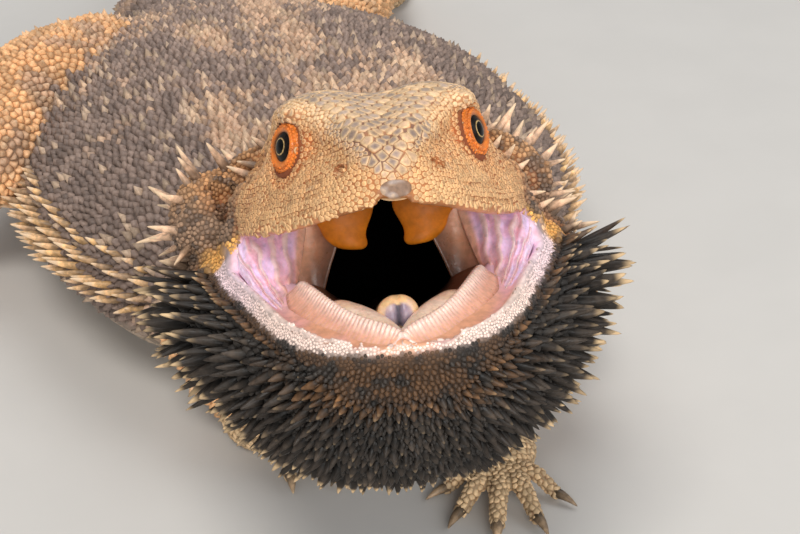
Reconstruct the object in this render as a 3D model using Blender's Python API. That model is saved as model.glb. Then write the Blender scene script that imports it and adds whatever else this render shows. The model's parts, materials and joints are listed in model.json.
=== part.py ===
"""A bearded dragon, life size, as a still museum model: it lies on its belly, lifts its head,
gapes and spreads its black beard.

The animal faces -Y with its left side at +X. The origin is the middle of the belly's flat, on the floor.
Lengths are in millimetres until a mesh is made, and MM turns them into metres.
"""

import math
import random

import bmesh
import bpy
import numpy as np
from mathutils import Euler, Matrix, Quaternion, Vector
from mathutils.bvhtree import BVHTree

# Driving dimensions, in millimetres and degrees
MM = 0.001
GAP = 0.3
TRIM_GAP = 0.42
WELD = 0.001
HEAD_ORIGIN = Vector((-17.0, -118.0, 74.0))
HEAD_YAW, HEAD_PITCH, HEAD_ROLL = -16.6, -33.0, -3.6
GAPE = 24.4
EYE_RADIUS = 5.3
EYE_CENTRE = Vector((12.0, -30.5, 10.8))
TRUNK_FRONT, TRUNK_BACK = -86.0, 94.0
TAIL_LENGTH = 245.0
TAIL_BEND = 34.0
TAIL_SPLITS = (0.0, 0.3, 0.63, 1.0)
RING = 24
TAIL_RINGS = 7

# The flank spines start behind the shoulder and stop at the thigh, which lies further forward at the right
FLANK_FIRST = -50.0
FLANK_LAST = {1: 62.0, -1: 4.0}

# The trunk's outline: place along Y, half width, top, bottom and the height of its widest edge
TRUNK = {
    "y": (-86, -74, -60, -40, -12, 18, 42, 62, 78, 94),
    "half": (27, 36, 47, 58, 64, 64.5, 58, 44, 31, 21),
    "top": (53, 55, 55, 54, 52.5, 50, 47, 43, 38.5, 33),
    "bottom": (15, 9, 3, -2, -3.5, -3.5, -3.5, -3, -1.5, 1),
    "edge": (34, 31, 28, 25.5, 24, 23, 22, 21, 19.5, 17),
}

# The upper head along its own Y, from the snout's tip to the nape, with z = 0 at the snout's lip
HEAD = {
    "y": (-56, -54.6, -52, -48, -42, -36, -30, -24, -17, -10, -3, 4),
    "top": (4.6, 7.6, 9.8, 12.2, 14.8, 17.2, 19.4, 20.6, 21.0, 21.0, 20.4, 19.0),
    "brow_x": (1.8, 3.6, 5.2, 7.2, 9.6, 12.4, 15.4, 16.6, 16.8, 17.4, 18.2, 18.6),
    "brow_z": (3.8, 6.2, 8.4, 10.8, 13.6, 16.6, 18.6, 18.9, 18.4, 17.6, 16.6, 15.4),
    "cheek_x": (3.0, 5.0, 7.4, 10.0, 12.8, 15.4, 18.0, 21.0, 24.0, 26.2, 27.2, 27.0),
    "cheek_z": (2.6, 3.2, 3.8, 4.6, 5.4, 5.8, 6.0, 6.2, 6.2, 6.0, 5.6, 5.0),
    "lip_x": (3.6, 6.4, 9.0, 12.0, 15.2, 18.2, 20.8, 23.2, 25.0, 26.2, 26.6, 26.2),
    "lip_z": (-1.8, -1.9, -2.1, -2.4, -2.7, -2.8, -2.6, -2.2, -1.6, -0.9, -0.3, 0.3),
    "palate": (-0.6, -0.2, 0.8, 2.4, 4.4, 6.0, 7.0, 7.6, 8.2, 8.5, 8.6, 8.4),
}

# The lower jaw along its own Y: the lip's half width, and the depth of the chin below it
JAW = {
    "y": (-52.2, -51.6, -50.2, -47, -41.5, -36, -30, -24, -18, -11, -4, 2),
    "lip_x": (5.5, 8.2, 11.8, 15.8, 19.3, 21.6, 23.6, 25.8, 28.0, 29.4, 29.4, 28.6),
    "depth": (3.0, 5.0, 7.0, 9.0, 10.0, 10.5, 11.0, 11.0, 11.0, 11.0, 10.5, 10.0),
}

# The beard, the throat's spread pouch, along the jaw's Y: half width and depth below the lip
BEARD = {
    "y": (-53.2, -52.2, -49.8, -45, -39, -30, -18, -5, 8, 17),
    "half": (6.5, 9.8, 14.4, 19.2, 23.8, 29.4, 34.6, 37.2, 36.2, 32.0),
    "top": (-2.2, -2.2, -2.2, -3.2, -5.0, -5.0, -5.0, -5.0, -5.0, -5.0),
    "depth": (7.0, 10.5, 16.5, 24.5, 31.5, 36.5, 37.5, 35.0, 28.5, 20.0),
}

# Rows of beard spines along the jaw's Y, and the space between spines in a row
BEARD_ROWS = (-51.4, -49.2, -45.8, -41, -35, -27.5, -19, -10, -1, 8)
BEARD_STEP = 7.2
SPINE_ROOM = 0.5

# Rows of spines round the nape: distance behind the head's origin, count and share of full length
NAPE_ROWS = ((7.0, 19, 1.0), (12.5, 15, 1.0), (19.0, 10, 0.8))

# Colours as linear RGB, with roughness
MATERIALS = {
    "back_skin": ((0.30, 0.22, 0.15), 0.75),
    "head_skin": ((0.55, 0.36, 0.18), 0.7),
    "beard_skin": ((0.035, 0.033, 0.035), 0.65),
    "mouth_lining": ((0.72, 0.38, 0.38), 0.35),
    "tongue": ((0.72, 0.48, 0.30), 0.4),
    "eye": ((0.02, 0.015, 0.01), 0.1),
}

draws = random.Random(11)


def material(name):
    """The named material, made when first asked for."""
    found = bpy.data.materials.get(name)
    if found:
        return found
    colour, roughness = MATERIALS[name]
    made = bpy.data.materials.new(name)
    made.use_nodes = True
    shader = made.node_tree.nodes["Principled BSDF"]
    shader.inputs["Base Color"].default_value = (*colour, 1.0)
    shader.inputs["Roughness"].default_value = roughness
    shader.inputs["Metallic"].default_value = 0.0
    made.diffuse_color = (*colour, 1.0)
    return made


def clear_scene():
    for obj in list(bpy.data.objects):
        bpy.data.objects.remove(obj)


def new_collection(name):
    made = bpy.data.collections.new(name)
    bpy.context.scene.collection.children.link(made)
    return made


def smooth_value(knots, values, at):
    """A cubic through the knots that doesn't swing past its neighbours."""
    knots, values = np.asarray(knots, float), np.asarray(values, float)
    steps = np.diff(values) / np.diff(knots)
    slopes = np.zeros(len(knots))
    for i in range(1, len(knots) - 1):
        before, after = steps[i - 1], steps[i]
        if before * after > 0:
            slopes[i] = 2 * before * after / (before + after)
    slopes[0], slopes[-1] = steps[0], steps[-1]
    i = int(np.clip(np.searchsorted(knots, at) - 1, 0, len(knots) - 2))
    width = knots[i + 1] - knots[i]
    t = (at - knots[i]) / width
    ease = t * t * (3 - 2 * t)
    tangents = slopes[i] * t * (1 - t) ** 2 - slopes[i + 1] * t * t * (1 - t)
    return float(values[i] * (1 - ease) + values[i + 1] * ease + width * tangents)


def read(table, y):
    """Every column of a table of stations, at one place."""
    return {name: smooth_value(table["y"], table[name], y) for name in table}


def rounded(points, per_side):
    """A closed outline drawn smoothly through its points, with per_side points for each."""
    count, made = len(points), []
    for i in range(count):
        a, b, c, d = (np.array(points[(i + k) % count], float) for k in (-1, 0, 1, 2))
        for k in range(per_side):
            t = k / per_side
            made.append(
                0.5 * (2 * b + (c - a) * t + (2 * a - 5 * b + 4 * c - d) * t**2
                       + (3 * b - a - 3 * c + d) * t**3)
            )
    return made


def mirrored(half):
    """A closed outline from its right half, whose first and last points lie on the middle plane."""
    return list(half) + [(-x, z) for x, z in reversed(half[1:-1])]


def loft(name, rings, skin, collection, pose=None):
    """A closed solid through rings of points in millimetres, with flat ends."""
    mesh = bpy.data.meshes.new(name)
    bm = bmesh.new()
    made = [[bm.verts.new(Vector(p) * MM) for p in ring] for ring in rings]
    for ring, following in zip(made, made[1:]):
        for i in range(len(ring)):
            k = (i + 1) % len(ring)
            bm.faces.new((ring[i], ring[k], following[k], following[i]))
    bm.faces.new(made[0])
    bm.faces.new(made[-1])
    bmesh.ops.recalc_face_normals(bm, faces=bm.faces)
    bm.to_mesh(mesh)
    bm.free()
    return put(name, mesh, skin, collection, pose)


def put(name, mesh, skin, collection, pose=None):
    """An object of that mesh, placed by its own location and rotation."""
    obj = bpy.data.objects.new(name, mesh)
    if skin:
        mesh.materials.append(material(skin))
    collection.objects.link(obj)
    obj.matrix_world = pose or Matrix.Identity(4)
    bpy.context.view_layer.update()
    return obj


def ball(name, centre, radii, collection, pose=None, skin=None, segments=16, turn=None):
    """An ellipsoid, for a rounded piece or a cutter."""
    mesh = bpy.data.meshes.new(name)
    bm = bmesh.new()
    place = Matrix.Translation(Vector(centre) * MM) @ (turn or Matrix.Identity(4))
    place = place @ Matrix.Diagonal((*[r * MM for r in radii], 1))
    bmesh.ops.create_uvsphere(bm, u_segments=segments, v_segments=segments // 2, radius=1, matrix=place)
    bm.to_mesh(mesh)
    bm.free()
    return put(name, mesh, skin, collection, pose)


def ring_piece(name, centre, axis, radius, thickness, stretch, collection, pose):
    """A torus round an axis, stretched across it, such as an eyelid."""
    turn = Vector((0, 0, 1)).rotation_difference(Vector(axis)).to_matrix().to_4x4()
    place = Matrix.Translation(Vector(centre) * MM) @ turn
    place = place @ Matrix.Diagonal((*[s * MM for s in stretch], 1))
    bpy.ops.mesh.primitive_torus_add(
        major_radius=radius, minor_radius=thickness, major_segments=14, minor_segments=6
    )
    obj = bpy.context.object
    obj.name = name
    obj.data.transform(place)
    for old in list(obj.users_collection):
        old.objects.unlink(obj)
    collection.objects.link(obj)
    obj.matrix_world = pose
    bpy.context.view_layer.update()
    return obj


def tube(name, points, radii, collection, skin=None, sides=2):
    """A limb or toe: a beveled curve through points, with a radius at each, made a closed mesh."""
    curve = bpy.data.curves.new(name, "CURVE")
    curve.dimensions = "3D"
    curve.bevel_depth = MM
    curve.bevel_resolution = sides
    curve.use_fill_caps = True
    spline = curve.splines.new("POLY")
    path = [tuple(p) + (r,) for p, r in zip(points, radii)]
    spline.points.add(len(path) - 1)
    for point, (x, y, z, r) in zip(spline.points, path):
        point.co = (x * MM, y * MM, z * MM, 1)
        point.radius = r
    drawn = bpy.data.objects.new(name + "_path", curve)
    collection.objects.link(drawn)
    bpy.context.view_layer.update()
    graph = bpy.context.evaluated_depsgraph_get()
    mesh = bpy.data.meshes.new_from_object(drawn.evaluated_get(graph))
    bm = bmesh.new()
    bm.from_mesh(mesh)
    bmesh.ops.remove_doubles(bm, verts=bm.verts, dist=WELD * MM)
    bm.to_mesh(mesh)
    bm.free()
    bpy.data.objects.remove(drawn)
    return put(name, mesh, skin, collection)


def smooth_path(points, radii, steps):
    """More points along a smooth line through a few, with radii eased the same way."""
    knots = range(len(points))
    at = np.linspace(0, len(points) - 1, steps)
    rows = [[smooth_value(knots, [p[k] for p in points], t) for k in range(3)] for t in at]
    return rows, [smooth_value(knots, radii, t) for t in at]


def modifier(obj, kind, **settings):
    made = obj.modifiers.new(kind.title(), kind)
    for name, value in settings.items():
        setattr(made, name, value)
    return made


def apply_all(obj):
    """The object's evaluated mesh takes the place of its modifiers."""
    bpy.context.view_layer.update()
    graph = bpy.context.evaluated_depsgraph_get()
    mesh = bpy.data.meshes.new_from_object(obj.evaluated_get(graph))
    obj.modifiers.clear()
    obj.data = mesh


def keep_largest(obj):
    """Only the largest closed surface of an object stays, followed across shared edges."""
    bm = bmesh.new()
    bm.from_mesh(obj.data)
    left, groups = set(bm.faces), []
    while left:
        start = left.pop()
        group, border = {start}, [start]
        while border:
            for edge in border.pop().edges:
                for face in edge.link_faces:
                    if face in left:
                        left.remove(face)
                        group.add(face)
                        border.append(face)
        groups.append(group)
    largest = max(groups, key=len)
    bmesh.ops.delete(bm, geom=[f for f in bm.faces if f not in largest], context="FACES")
    bm.to_mesh(obj.data)
    bm.free()


def join_or_cut(obj, pieces, operation, solver):
    """One Boolean with a collection of closed meshes, which are then removed."""
    held = new_collection(obj.name + "_pieces")
    for piece in pieces:
        for old in list(piece.users_collection):
            old.objects.unlink(piece)
        held.objects.link(piece)
    modifier(obj, "BOOLEAN", operation=operation, operand_type="COLLECTION",
             collection=held, solver=solver)
    apply_all(obj)
    for piece in list(held.objects):
        bpy.data.objects.remove(piece)
    bpy.data.collections.remove(held)


def fuse(obj, pieces, solver="MANIFOLD"):
    join_or_cut(obj, pieces, "UNION", solver)
    keep_largest(obj)


def carve(obj, cutters, solver="MANIFOLD"):
    join_or_cut(obj, cutters, "DIFFERENCE", solver)
    keep_largest(obj)


def swollen(obj, collection, by=TRIM_GAP):
    """A copy of a finished node, larger by the gap, that trims its neighbour."""
    copy = bpy.data.objects.new(obj.name + "_swollen", obj.data.copy())
    copy.data.materials.clear()
    collection.objects.link(copy)
    copy.matrix_world = obj.matrix_world
    bm = bmesh.new()
    bm.from_mesh(copy.data)
    bm.normal_update()
    moves = [(v, v.normal * by * MM * v.calc_shell_factor()) for v in bm.verts]
    for vert, move in moves:
        vert.co += move if move.length < 2 * by * MM else move.normalized() * 2 * by * MM
    bm.to_mesh(copy.data)
    bm.free()
    bpy.context.view_layer.update()
    return copy


def surface_of(obj, placed=False):
    """A finder of places on an object's surface, in the object's own frame or as placed."""
    bm = bmesh.new()
    bm.from_mesh(obj.data)
    if placed:
        bm.transform(obj.matrix_world)
    found = BVHTree.FromBMesh(bm)
    bm.free()
    return found


def is_clear(spine, neighbours):
    """Whether a spine keeps its distance from the neighbours, so that none of them cuts it."""
    verts = spine.data.vertices
    for edge in spine.data.edges:
        a, b = (spine.matrix_world @ verts[i].co for i in edge.vertices)
        for share in (0.0, 0.2, 0.4, 0.6, 0.8, 1.0):
            place = a.lerp(b, share)
            for finder in neighbours:
                if finder.find_nearest(place, SPINE_ROOM * MM)[0] is not None:
                    return False
    return True


def only_clear(spines, neighbours):
    """The spines that stand clear of every neighbour; the others are removed."""
    finders = [surface_of(node, placed=True) for node in neighbours]
    kept = []
    for spine in [m for m in spines if m]:
        if is_clear(spine, finders):
            kept.append(spine)
        else:
            bpy.data.objects.remove(spine)
    return kept


def cone(name, root, along, length, radius, collection, pose=None, flat=1.0, sunk=1.2, sides=4):
    """A tapered spine or claw whose root is sunk below the surface that it grows from."""
    mesh = bpy.data.meshes.new(name)
    bm = bmesh.new()
    along = along.normalized()
    whole = length + sunk
    middle = root + along * (whole / 2 - sunk)
    turn = along.to_track_quat("Z", "Y").to_matrix().to_4x4()
    place = Matrix.Translation(middle * MM) @ turn @ Matrix.Diagonal((1, flat, 1, 1))
    tip = 0.22 * radius
    bmesh.ops.create_cone(bm, cap_ends=True, segments=sides, radius1=radius * MM,
                          radius2=tip * MM, depth=whole * MM, matrix=place)
    bm.to_mesh(mesh)
    bm.free()
    return put(name, mesh, None, collection, pose)


def flatten_to_floor(obj):
    """What would reach below the floor lies on it, flat."""
    inverse = obj.matrix_world.inverted()
    for vert in obj.data.vertices:
        place = obj.matrix_world @ vert.co
        if place.z < 0.25 * MM:
            place.z = 0
            vert.co = inverse @ place


# The frames of the head and of the lower jaw
turn_head = (
    Matrix.Rotation(math.radians(HEAD_YAW), 4, "Z")
    @ Matrix.Rotation(math.radians(HEAD_PITCH), 4, "X")
    @ Matrix.Rotation(math.radians(HEAD_ROLL), 4, "Y")
)
head_pose = Matrix.Translation(HEAD_ORIGIN * MM) @ turn_head
jaw_pose = head_pose @ Matrix.Rotation(math.radians(GAPE), 4, "X")


# Trunk and tail
def trunk_ring(half, top, bottom, edge, x=0.0, y=0.0, heading=0.0, floor=True, count=RING):
    """A flattened section across the trunk or tail, widest at its edge, that lies flat on the floor."""
    made = []
    for i in range(count):
        t = 2 * math.pi * i / count
        side, height = math.cos(t), math.sin(t)
        out = half * math.copysign(abs(side) ** 0.9, side)
        z = edge + ((top - edge) if height > 0 else (edge - bottom)) * height
        z = max(z, 0.0) if floor else z
        made.append((x + out * math.cos(heading), y + out * math.sin(heading), z))
    return made


def trunk_stations(count):
    return [TRUNK_FRONT + (TRUNK_BACK - TRUNK_FRONT) * i / (count - 1) for i in range(count)]


def build_trunk(collection):
    rings = []
    for y in trunk_stations(15):
        s = read(TRUNK, y)
        rings.append(trunk_ring(s["half"], s["top"], s["bottom"], s["edge"], y=y))
    return loft("torso", rings, "back_skin", collection)


def tail_station(share):
    """Centre, heading and size of the tail at a share of its length."""
    x, y, steps = 0.0, TRUNK_BACK + GAP, 120
    for i in range(steps):
        angle = math.radians(TAIL_BEND) * math.sin(math.pi * 0.75 * share * (i + 0.5) / steps)
        x += math.sin(angle) * TAIL_LENGTH * share / steps
        y += math.cos(angle) * TAIL_LENGTH * share / steps
    heading = -math.radians(TAIL_BEND) * math.sin(math.pi * 0.75 * share)
    half = 1.6 + 19.4 * (1 - share) ** 1.7
    top = 3.0 + 30.0 * (1 - share) ** 1.6
    return x, y, heading, half, top


def build_tail(collection):
    made = []
    for i, name in enumerate(("tail_base", "tail_middle", "tail_tip")):
        start, end = TAIL_SPLITS[i], TAIL_SPLITS[i + 1]
        start += GAP / TAIL_LENGTH if i else 0.0
        rings = []
        for k in range(TAIL_RINGS):
            share = start + (end - start) * k / (TAIL_RINGS - 1)
            x, y, heading, half, top = tail_station(share)
            bottom = 1.0 * max(0.0, 1 - 8 * share) - 0.3 * min(1.0, 8 * share)
            rings.append(trunk_ring(half, top, bottom, top * 0.5, x, y, heading, count=16))
        made.append(loft(name, rings, "back_skin", collection))
    return made


# Head
def head_outline(s):
    """Half of the upper head's section: crown, brow, side, lip, gum and palate."""
    lip, gum = s["lip_x"], s["lip_x"] - min(3.0, 0.45 * s["lip_x"])
    side_z = 0.5 * (s["brow_z"] + s["cheek_z"])
    side_x = 0.55 * s["brow_x"] + 0.45 * s["cheek_x"]
    return [
        (0, s["top"] - 0.4),
        (0.55 * s["brow_x"], s["top"] + 0.8),
        (s["brow_x"], s["brow_z"]),
        (side_x, side_z),
        (s["cheek_x"], s["cheek_z"]),
        (lip, s["lip_z"] + 1.6),
        (lip - 0.4, s["lip_z"]),
        (gum, s["lip_z"] + 0.6),
        (0.72 * gum, 0.7 * s["palate"]),
        (0.35 * gum, s["palate"]),
        (0, s["palate"]),
    ]


def spaced(table, count):
    """Places along a table, closer together near the rounded front."""
    first, last = table["y"][0], table["y"][-1]
    return [first + (last - first) * (i / (count - 1)) ** 1.5 for i in range(count)]


def build_head(collection):
    rings = []
    for y in spaced(HEAD, 13):
        outline = rounded(mirrored(head_outline(read(HEAD, y))), 2)
        rings.append([(x, y, z) for x, z in outline])
    head = loft("head", rings, "head_skin", collection, head_pose)
    pieces, cutters = [], []
    for side in (1, -1):
        centre = Vector((side * EYE_CENTRE.x, EYE_CENTRE.y, EYE_CENTRE.z))
        gaze = Vector((side * 0.86, -0.5, 0.14)).normalized()
        pieces.append(ring_piece("lid", centre + gaze * 3.6, gaze, 4.3, 1.5, (1.0, 1.0, 1.0),
                                 collection, head_pose))
        pieces.append(ball("palate_lobe", (side * 6.2, -19, 2.0), (3.6, 5.0, 7.2), collection, head_pose,
                           segments=8))
        pieces.append(ball("brow", (side * 14.4, -29.5, 16.6), (3.2, 9.5, 2.6), collection, head_pose,
                           segments=8))
        cutters.append(ball("socket", centre, [EYE_RADIUS + GAP] * 3, collection, head_pose, segments=14))
        cutters.append(ball("nostril", (side * 9.2, -49.4, 5.6), (1.3, 1.6, 1.2), collection, head_pose,
                            segments=6))
        cutters.append(ball("ear", (side * 27.4, -1.6, 7.6), (2.0, 3.2, 3.6), collection, head_pose,
                            segments=8))
    fuse(head, pieces)
    carve(head, cutters)
    eyes = [
        ball("eye_left" if side > 0 else "eye_right", (side * EYE_CENTRE.x, EYE_CENTRE.y, EYE_CENTRE.z),
             [EYE_RADIUS] * 3, collection, head_pose, "eye", 14)
        for side in (1, -1)
    ]
    return head, eyes


def build_neck(collection):
    """From the trunk's front ring to the head's back, rising and turning."""
    rings, steps = [], 9
    tail_end = read(TRUNK, TRUNK_FRONT)
    back = {"half": tail_end["half"], "top": tail_end["top"] - 34, "bottom": tail_end["bottom"] - 34}
    front = {"half": 33.0, "top": 13.5, "bottom": -19.0}
    start = Vector((0, TRUNK_FRONT - GAP, 34))
    end_frame = Vector((0, 4 + GAP, 5.5))
    end = HEAD_ORIGIN + turn_head.to_3x3() @ end_frame
    lead = turn_head.to_3x3() @ Vector((0, 1, 0))
    handle_a, handle_b = start + Vector((0, -11, 1)), end + lead * 11
    turn_a, turn_b = Quaternion(), turn_head.to_quaternion()
    for i in range(steps):
        t = i / (steps - 1)
        u = 1 - t
        centre = start * u**3 + handle_a * 3 * u * u * t + handle_b * 3 * u * t * t + end * t**3
        turn = turn_a.slerp(turn_b, t)
        size = {k: back[k] * u + front[k] * t for k in front}
        flat = trunk_ring(size["half"], size["top"], size["bottom"], 0.0, floor=False)
        rings.append([centre + turn @ Vector(p) for p in flat])
    neck = loft("neck", rings, "back_skin", collection)
    fuse(neck, [ball("jowl", *JOWL, collection, head_pose, segments=18)])
    return neck


def jaw_outline(s):
    """Half of the lower jaw's section: floor of the mouth, gum ridge, lip and chin."""
    lip, depth = s["lip_x"], s["depth"]
    room = min(1.0, lip / 12.0)
    return [
        (0, -0.52 * depth),
        (0.4 * (lip - 7 * room), -0.5 * depth),
        (lip - 7.0 * room, -0.34 * depth),
        (lip - 5.2 * room, 0.3),
        (lip - 3.6 * room, -1.6 * room),
        (lip - 2.2 * room, -0.5),
        (lip - 0.7 * room, 0.3),
        (lip, -1.6),
        (lip - 1.6 * room, -0.6 * depth),
        (0.5 * lip, -0.95 * depth),
        (0, -depth),
    ]


def build_jaw(collection):
    rings = []
    for y in spaced(JAW, 11):
        outline = rounded(mirrored(jaw_outline(read(JAW, y))), 2)
        rings.append([(x, y, z) for x, z in outline])
    return loft("jaw", rings, "mouth_lining", collection, jaw_pose)


def gullet(collection):
    """The dark way down the throat, behind the tongue."""
    return ball("gullet", (0, -4, -5.5), (13.5, 31.0, 13.0), collection, head_pose, segments=18)


def build_cheeks(collection):
    """The fold of skin at each corner of the mouth, with the muscle that stands inside it."""
    made = []
    for side, name in ((1, "cheek_left"), (-1, "cheek_right")):
        cheek = ball(name, (side * 25.4, -5.0, -4.4), (4.4, 10.0, 7.4), collection, head_pose,
                     "mouth_lining", 14)
        column = ball("column", (side * 18.6, -2.5, -1.5), (6.5, 8.0, 11.0), collection, head_pose,
                      segments=12)
        fuse(cheek, [column])
        made.append(cheek)
    return made


def beard_outline(s, lip):
    """Half of the pouch's section, from inside the jaw round to its lowest line."""
    half, depth = s["half"], s["depth"]
    return [
        (0, s["top"]),
        (0.6 * lip, s["top"]),
        (lip + 0.5, -2.0),
        (0.4 * lip + 0.6 * half + 0.4, -0.12 * depth - 1.8),
        (half, -0.3 * depth),
        (0.93 * half, -0.5 * depth),
        (0.74 * half, -0.76 * depth),
        (0.4 * half, -0.95 * depth),
        (0, -depth),
    ]


def build_beard(collection):
    rings = []
    for y in spaced(BEARD, 10):
        lip = read(JAW, min(y, JAW["y"][-1]))["lip_x"]
        outline = rounded(mirrored(beard_outline(read(BEARD, y), lip)), 2)
        rings.append([(x, y, z) for x, z in outline])
    return loft("beard", rings, "beard_skin", collection, jaw_pose)


def build_tongue(collection):
    path = [(0, -12, -15), (0, -23, -10), (0, -33, -5.2), (0, -39, -2.0), (0, -42.6, -0.6)]
    points, radii = smooth_path(path, (7.0, 6.2, 4.8, 3.6, 2.0), 9)
    tongue = tube("tongue", points, radii, collection, "tongue", 3)
    tongue.matrix_world = jaw_pose
    bpy.context.view_layer.update()
    return tongue


# Limbs: joints in the floor's frame, for the animal's left side, in millimetres
LIMBS = {
    "left": {
        "arm": ((27, -58, 28), (36, -72, 27), (38, -83, 25), (11.5, 9.0, 7.2)),
        "fore": ((38, -83, 25), (30, -90, 17), (19, -95, 9.5), (6.1, 6.2, 5.0)),
        "hand": ((19, -95), -116.0),
        "thigh": ((24, 66, 24), (41, 85, 25), (56, 104, 25), (16.0, 14.0, 10.5)),
        "shin": ((56, 104, 25), (66, 121, 18), (74, 138, 10.5), (8.9, 8.4, 6.2)),
        "foot": ((74, 138), 62.0),
    },
    "right": {
        "arm": ((-29, -50, 28), (-37, -59, 26), (-41, -67, 24), (11.0, 8.6, 7.0)),
        "fore": ((-41, -67, 24), (-38, -69, 16), (-34, -71, 9.0), (5.9, 5.8, 4.8)),
        "hand": ((-34, -71), -42.0),
        "thigh": ((-32, 63, 26), (-55, 41, 32), (-70, 14, 32), (17.0, 15.0, 11.5)),
        "shin": ((-70, 14, 32), (-83, 18, 21), (-94, 24, 10.5), (9.7, 8.8, 6.4)),
        "foot": ((-94, 24), -124.0),
    },
}

# Toes: angle from the foot's own line towards the outer side, length and radius
HAND = {"toes": ((-52, 11, 1.9), (-24, 15, 2.1), (2, 17, 2.2), (28, 16, 2.1), (58, 12, 1.9)),
        "palm": (9.5, 7.6, 4.6), "height": 3.2}
FOOT = {"toes": ((-44, 14, 2.1), (-20, 20, 2.3), (0, 26, 2.4), (17, 31, 2.4), (58, 19, 2.2)),
        "palm": (16.0, 8.0, 5.2), "height": 3.6}
CLAW = 5.0

# The loose skin that the turned head pushes out behind its right cheek: centre and radii in the head's frame
JOWL = ((-30.0, 6.0, 3.2), (8.5, 9.0, 9.4))


def build_foot(name, place, heading, outer, kind, collection):
    """A flat palm with five toes and claws. outer is 1 where the outer side is at +X."""
    start, along = Vector((*place, 0)), math.radians(heading)
    ahead = Vector((math.cos(along), math.sin(along), 0))
    length, width, height = kind["palm"]
    centre = start + ahead * length * 0.75 + Vector((0, 0, kind["height"]))
    turn = Matrix.Rotation(along, 4, "Z")
    palm = ball(name, centre, (length, width, height), collection, None, "back_skin", 10, turn)
    heel = tube("heel", [start + Vector((0, 0, 9)), start + Vector((0, 0, 5)) + ahead * 2, centre],
                (4.4, 5.4, 4.4), collection, None, 1)
    pieces = [heel]
    for angle, reach, radius in kind["toes"]:
        direction = along + math.radians(angle) * outer
        way = Vector((math.cos(direction), math.sin(direction), 0))
        root = centre + ahead * length * 0.42 + way * width * 0.3
        knuckle = root + way * reach * 0.5 + Vector((0, 0, 1.2))
        tip = root + way * reach
        root.z, tip.z = kind["height"], radius * 0.8
        pieces.append(tube("toe", [root - way * 3, knuckle, tip], (radius * 1.1, radius, radius * 0.8),
                           collection, None, 1))
        fall = (way + Vector((0, 0, -0.18))).normalized()
        pieces.append(cone("claw", tip - way * 0.6, fall, CLAW, radius * 0.62, collection))
    fuse(palm, pieces)
    flatten_to_floor(palm)
    return palm


def build_limb(name, a, b, c, radii, collection):
    """One length of a leg, rounded at its far end, where the next length meets it."""
    points, widths = smooth_path((a, b, c), radii, 5)
    end, size = Vector(points[-1]), widths[-1]
    away = (end - Vector(points[-2])).normalized()
    for reach, narrow in ((0.5, 0.87), (0.86, 0.5)):
        points.append(list(end + away * size * reach))
        widths.append(size * narrow)
    return tube(name, points, widths, collection, "back_skin", 2)


# Spines
def spine_on(finder, place, outward, lean, length, radius, collection, pose=None, flat=0.75):
    """A spine rooted where a ray from place meets the surface, leaning from the normal."""
    hit, normal, _, _ = finder.ray_cast(Vector(place) * MM, Vector(outward))
    if hit is None:
        return None
    way = (normal * 1.0 + Vector(lean)).normalized()
    return cone("spine", hit / MM, way, length, radius, collection, pose, flat, 1.4)


def flank_spines(torso, collection):
    """Two rows of long spines along each flank, pointing out and back."""
    finder, made = surface_of(torso), []
    for side in (1, -1):
        for row, (raise_by, step, long) in enumerate(((0.0, 6.4, 8.0), (6.5, 7.2, 6.0))):
            y = FLANK_FIRST + 3.0 * row
            while y < FLANK_LAST[side]:
                s = read(TRUNK, y)
                size = long * (0.72 + 0.28 * math.sin(math.pi * (y + 70) / 145)) * draws.uniform(0.88, 1.12)
                place = (0, y, s["edge"] + raise_by + draws.uniform(-0.6, 0.6))
                lean = (side * 0.2, 0.55, 0.05)
                made.append(spine_on(finder, place, (side, 0, 0), lean, size, 1.5, collection))
                y += step * draws.uniform(0.94, 1.06)
    fuse(torso, [m for m in made if m])


def beard_spines(beard, collection):
    """Rows of spines that stand out round the pouch, longest at its sides and lowest edge."""
    finder, made = surface_of(beard), []
    for row, y in enumerate(BEARD_ROWS):
        s = read(BEARD, y)
        rise = row / (len(BEARD_ROWS) - 1)
        arc = math.pi * 0.5 * (s["half"] + s["depth"])
        count = int(arc / BEARD_STEP)
        for i in range(count + 1):
            share = (i + 0.5 * (row % 2)) / (count + 0.5)
            angle = math.pi * (share * 1.16 - 0.08)
            out = Vector((math.cos(angle), 0, -math.sin(angle)))
            spread = abs(math.cos(angle))
            length = (2.8 + 5.8 * rise + 3.4 * spread * min(1, 1.6 * rise)) * draws.uniform(0.86, 1.14)
            start = Vector((0, y + draws.uniform(-0.6, 0.6), -8.0))
            lean = Vector((0.3 * math.cos(angle), 0.5 - 0.4 * rise, -0.25 * (1 - rise)))
            made.append(spine_on(finder, start, out, lean, length, 1.2 + 0.4 * rise, collection, jaw_pose))
    return made


def nape_spines(neck, collection):
    """Spines across the nape and down each side of the neck, behind the ears."""
    finder, made = surface_of(neck), []
    turn = turn_head.to_3x3()
    for row, (back, count, long) in enumerate(NAPE_ROWS):
        middle = HEAD_ORIGIN + turn @ Vector((0, back, 0)) + Vector((0.7 * row, 0, -1.5 * row))
        for i in range(count):
            angle = math.pi * (1.3 * (i + 0.5) / count - 0.15)
            out = turn @ Vector((math.cos(angle), 0, math.sin(angle)))
            spread = abs(math.cos(angle))
            length = long * (3.4 + 4.2 * spread) * draws.uniform(0.88, 1.12)
            lean = turn @ Vector((0.2 * math.cos(angle), 0.7 - 0.6 * spread, 0.15))
            made.append(spine_on(finder, middle, out, lean, length, 1.4, collection))
    return made


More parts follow.
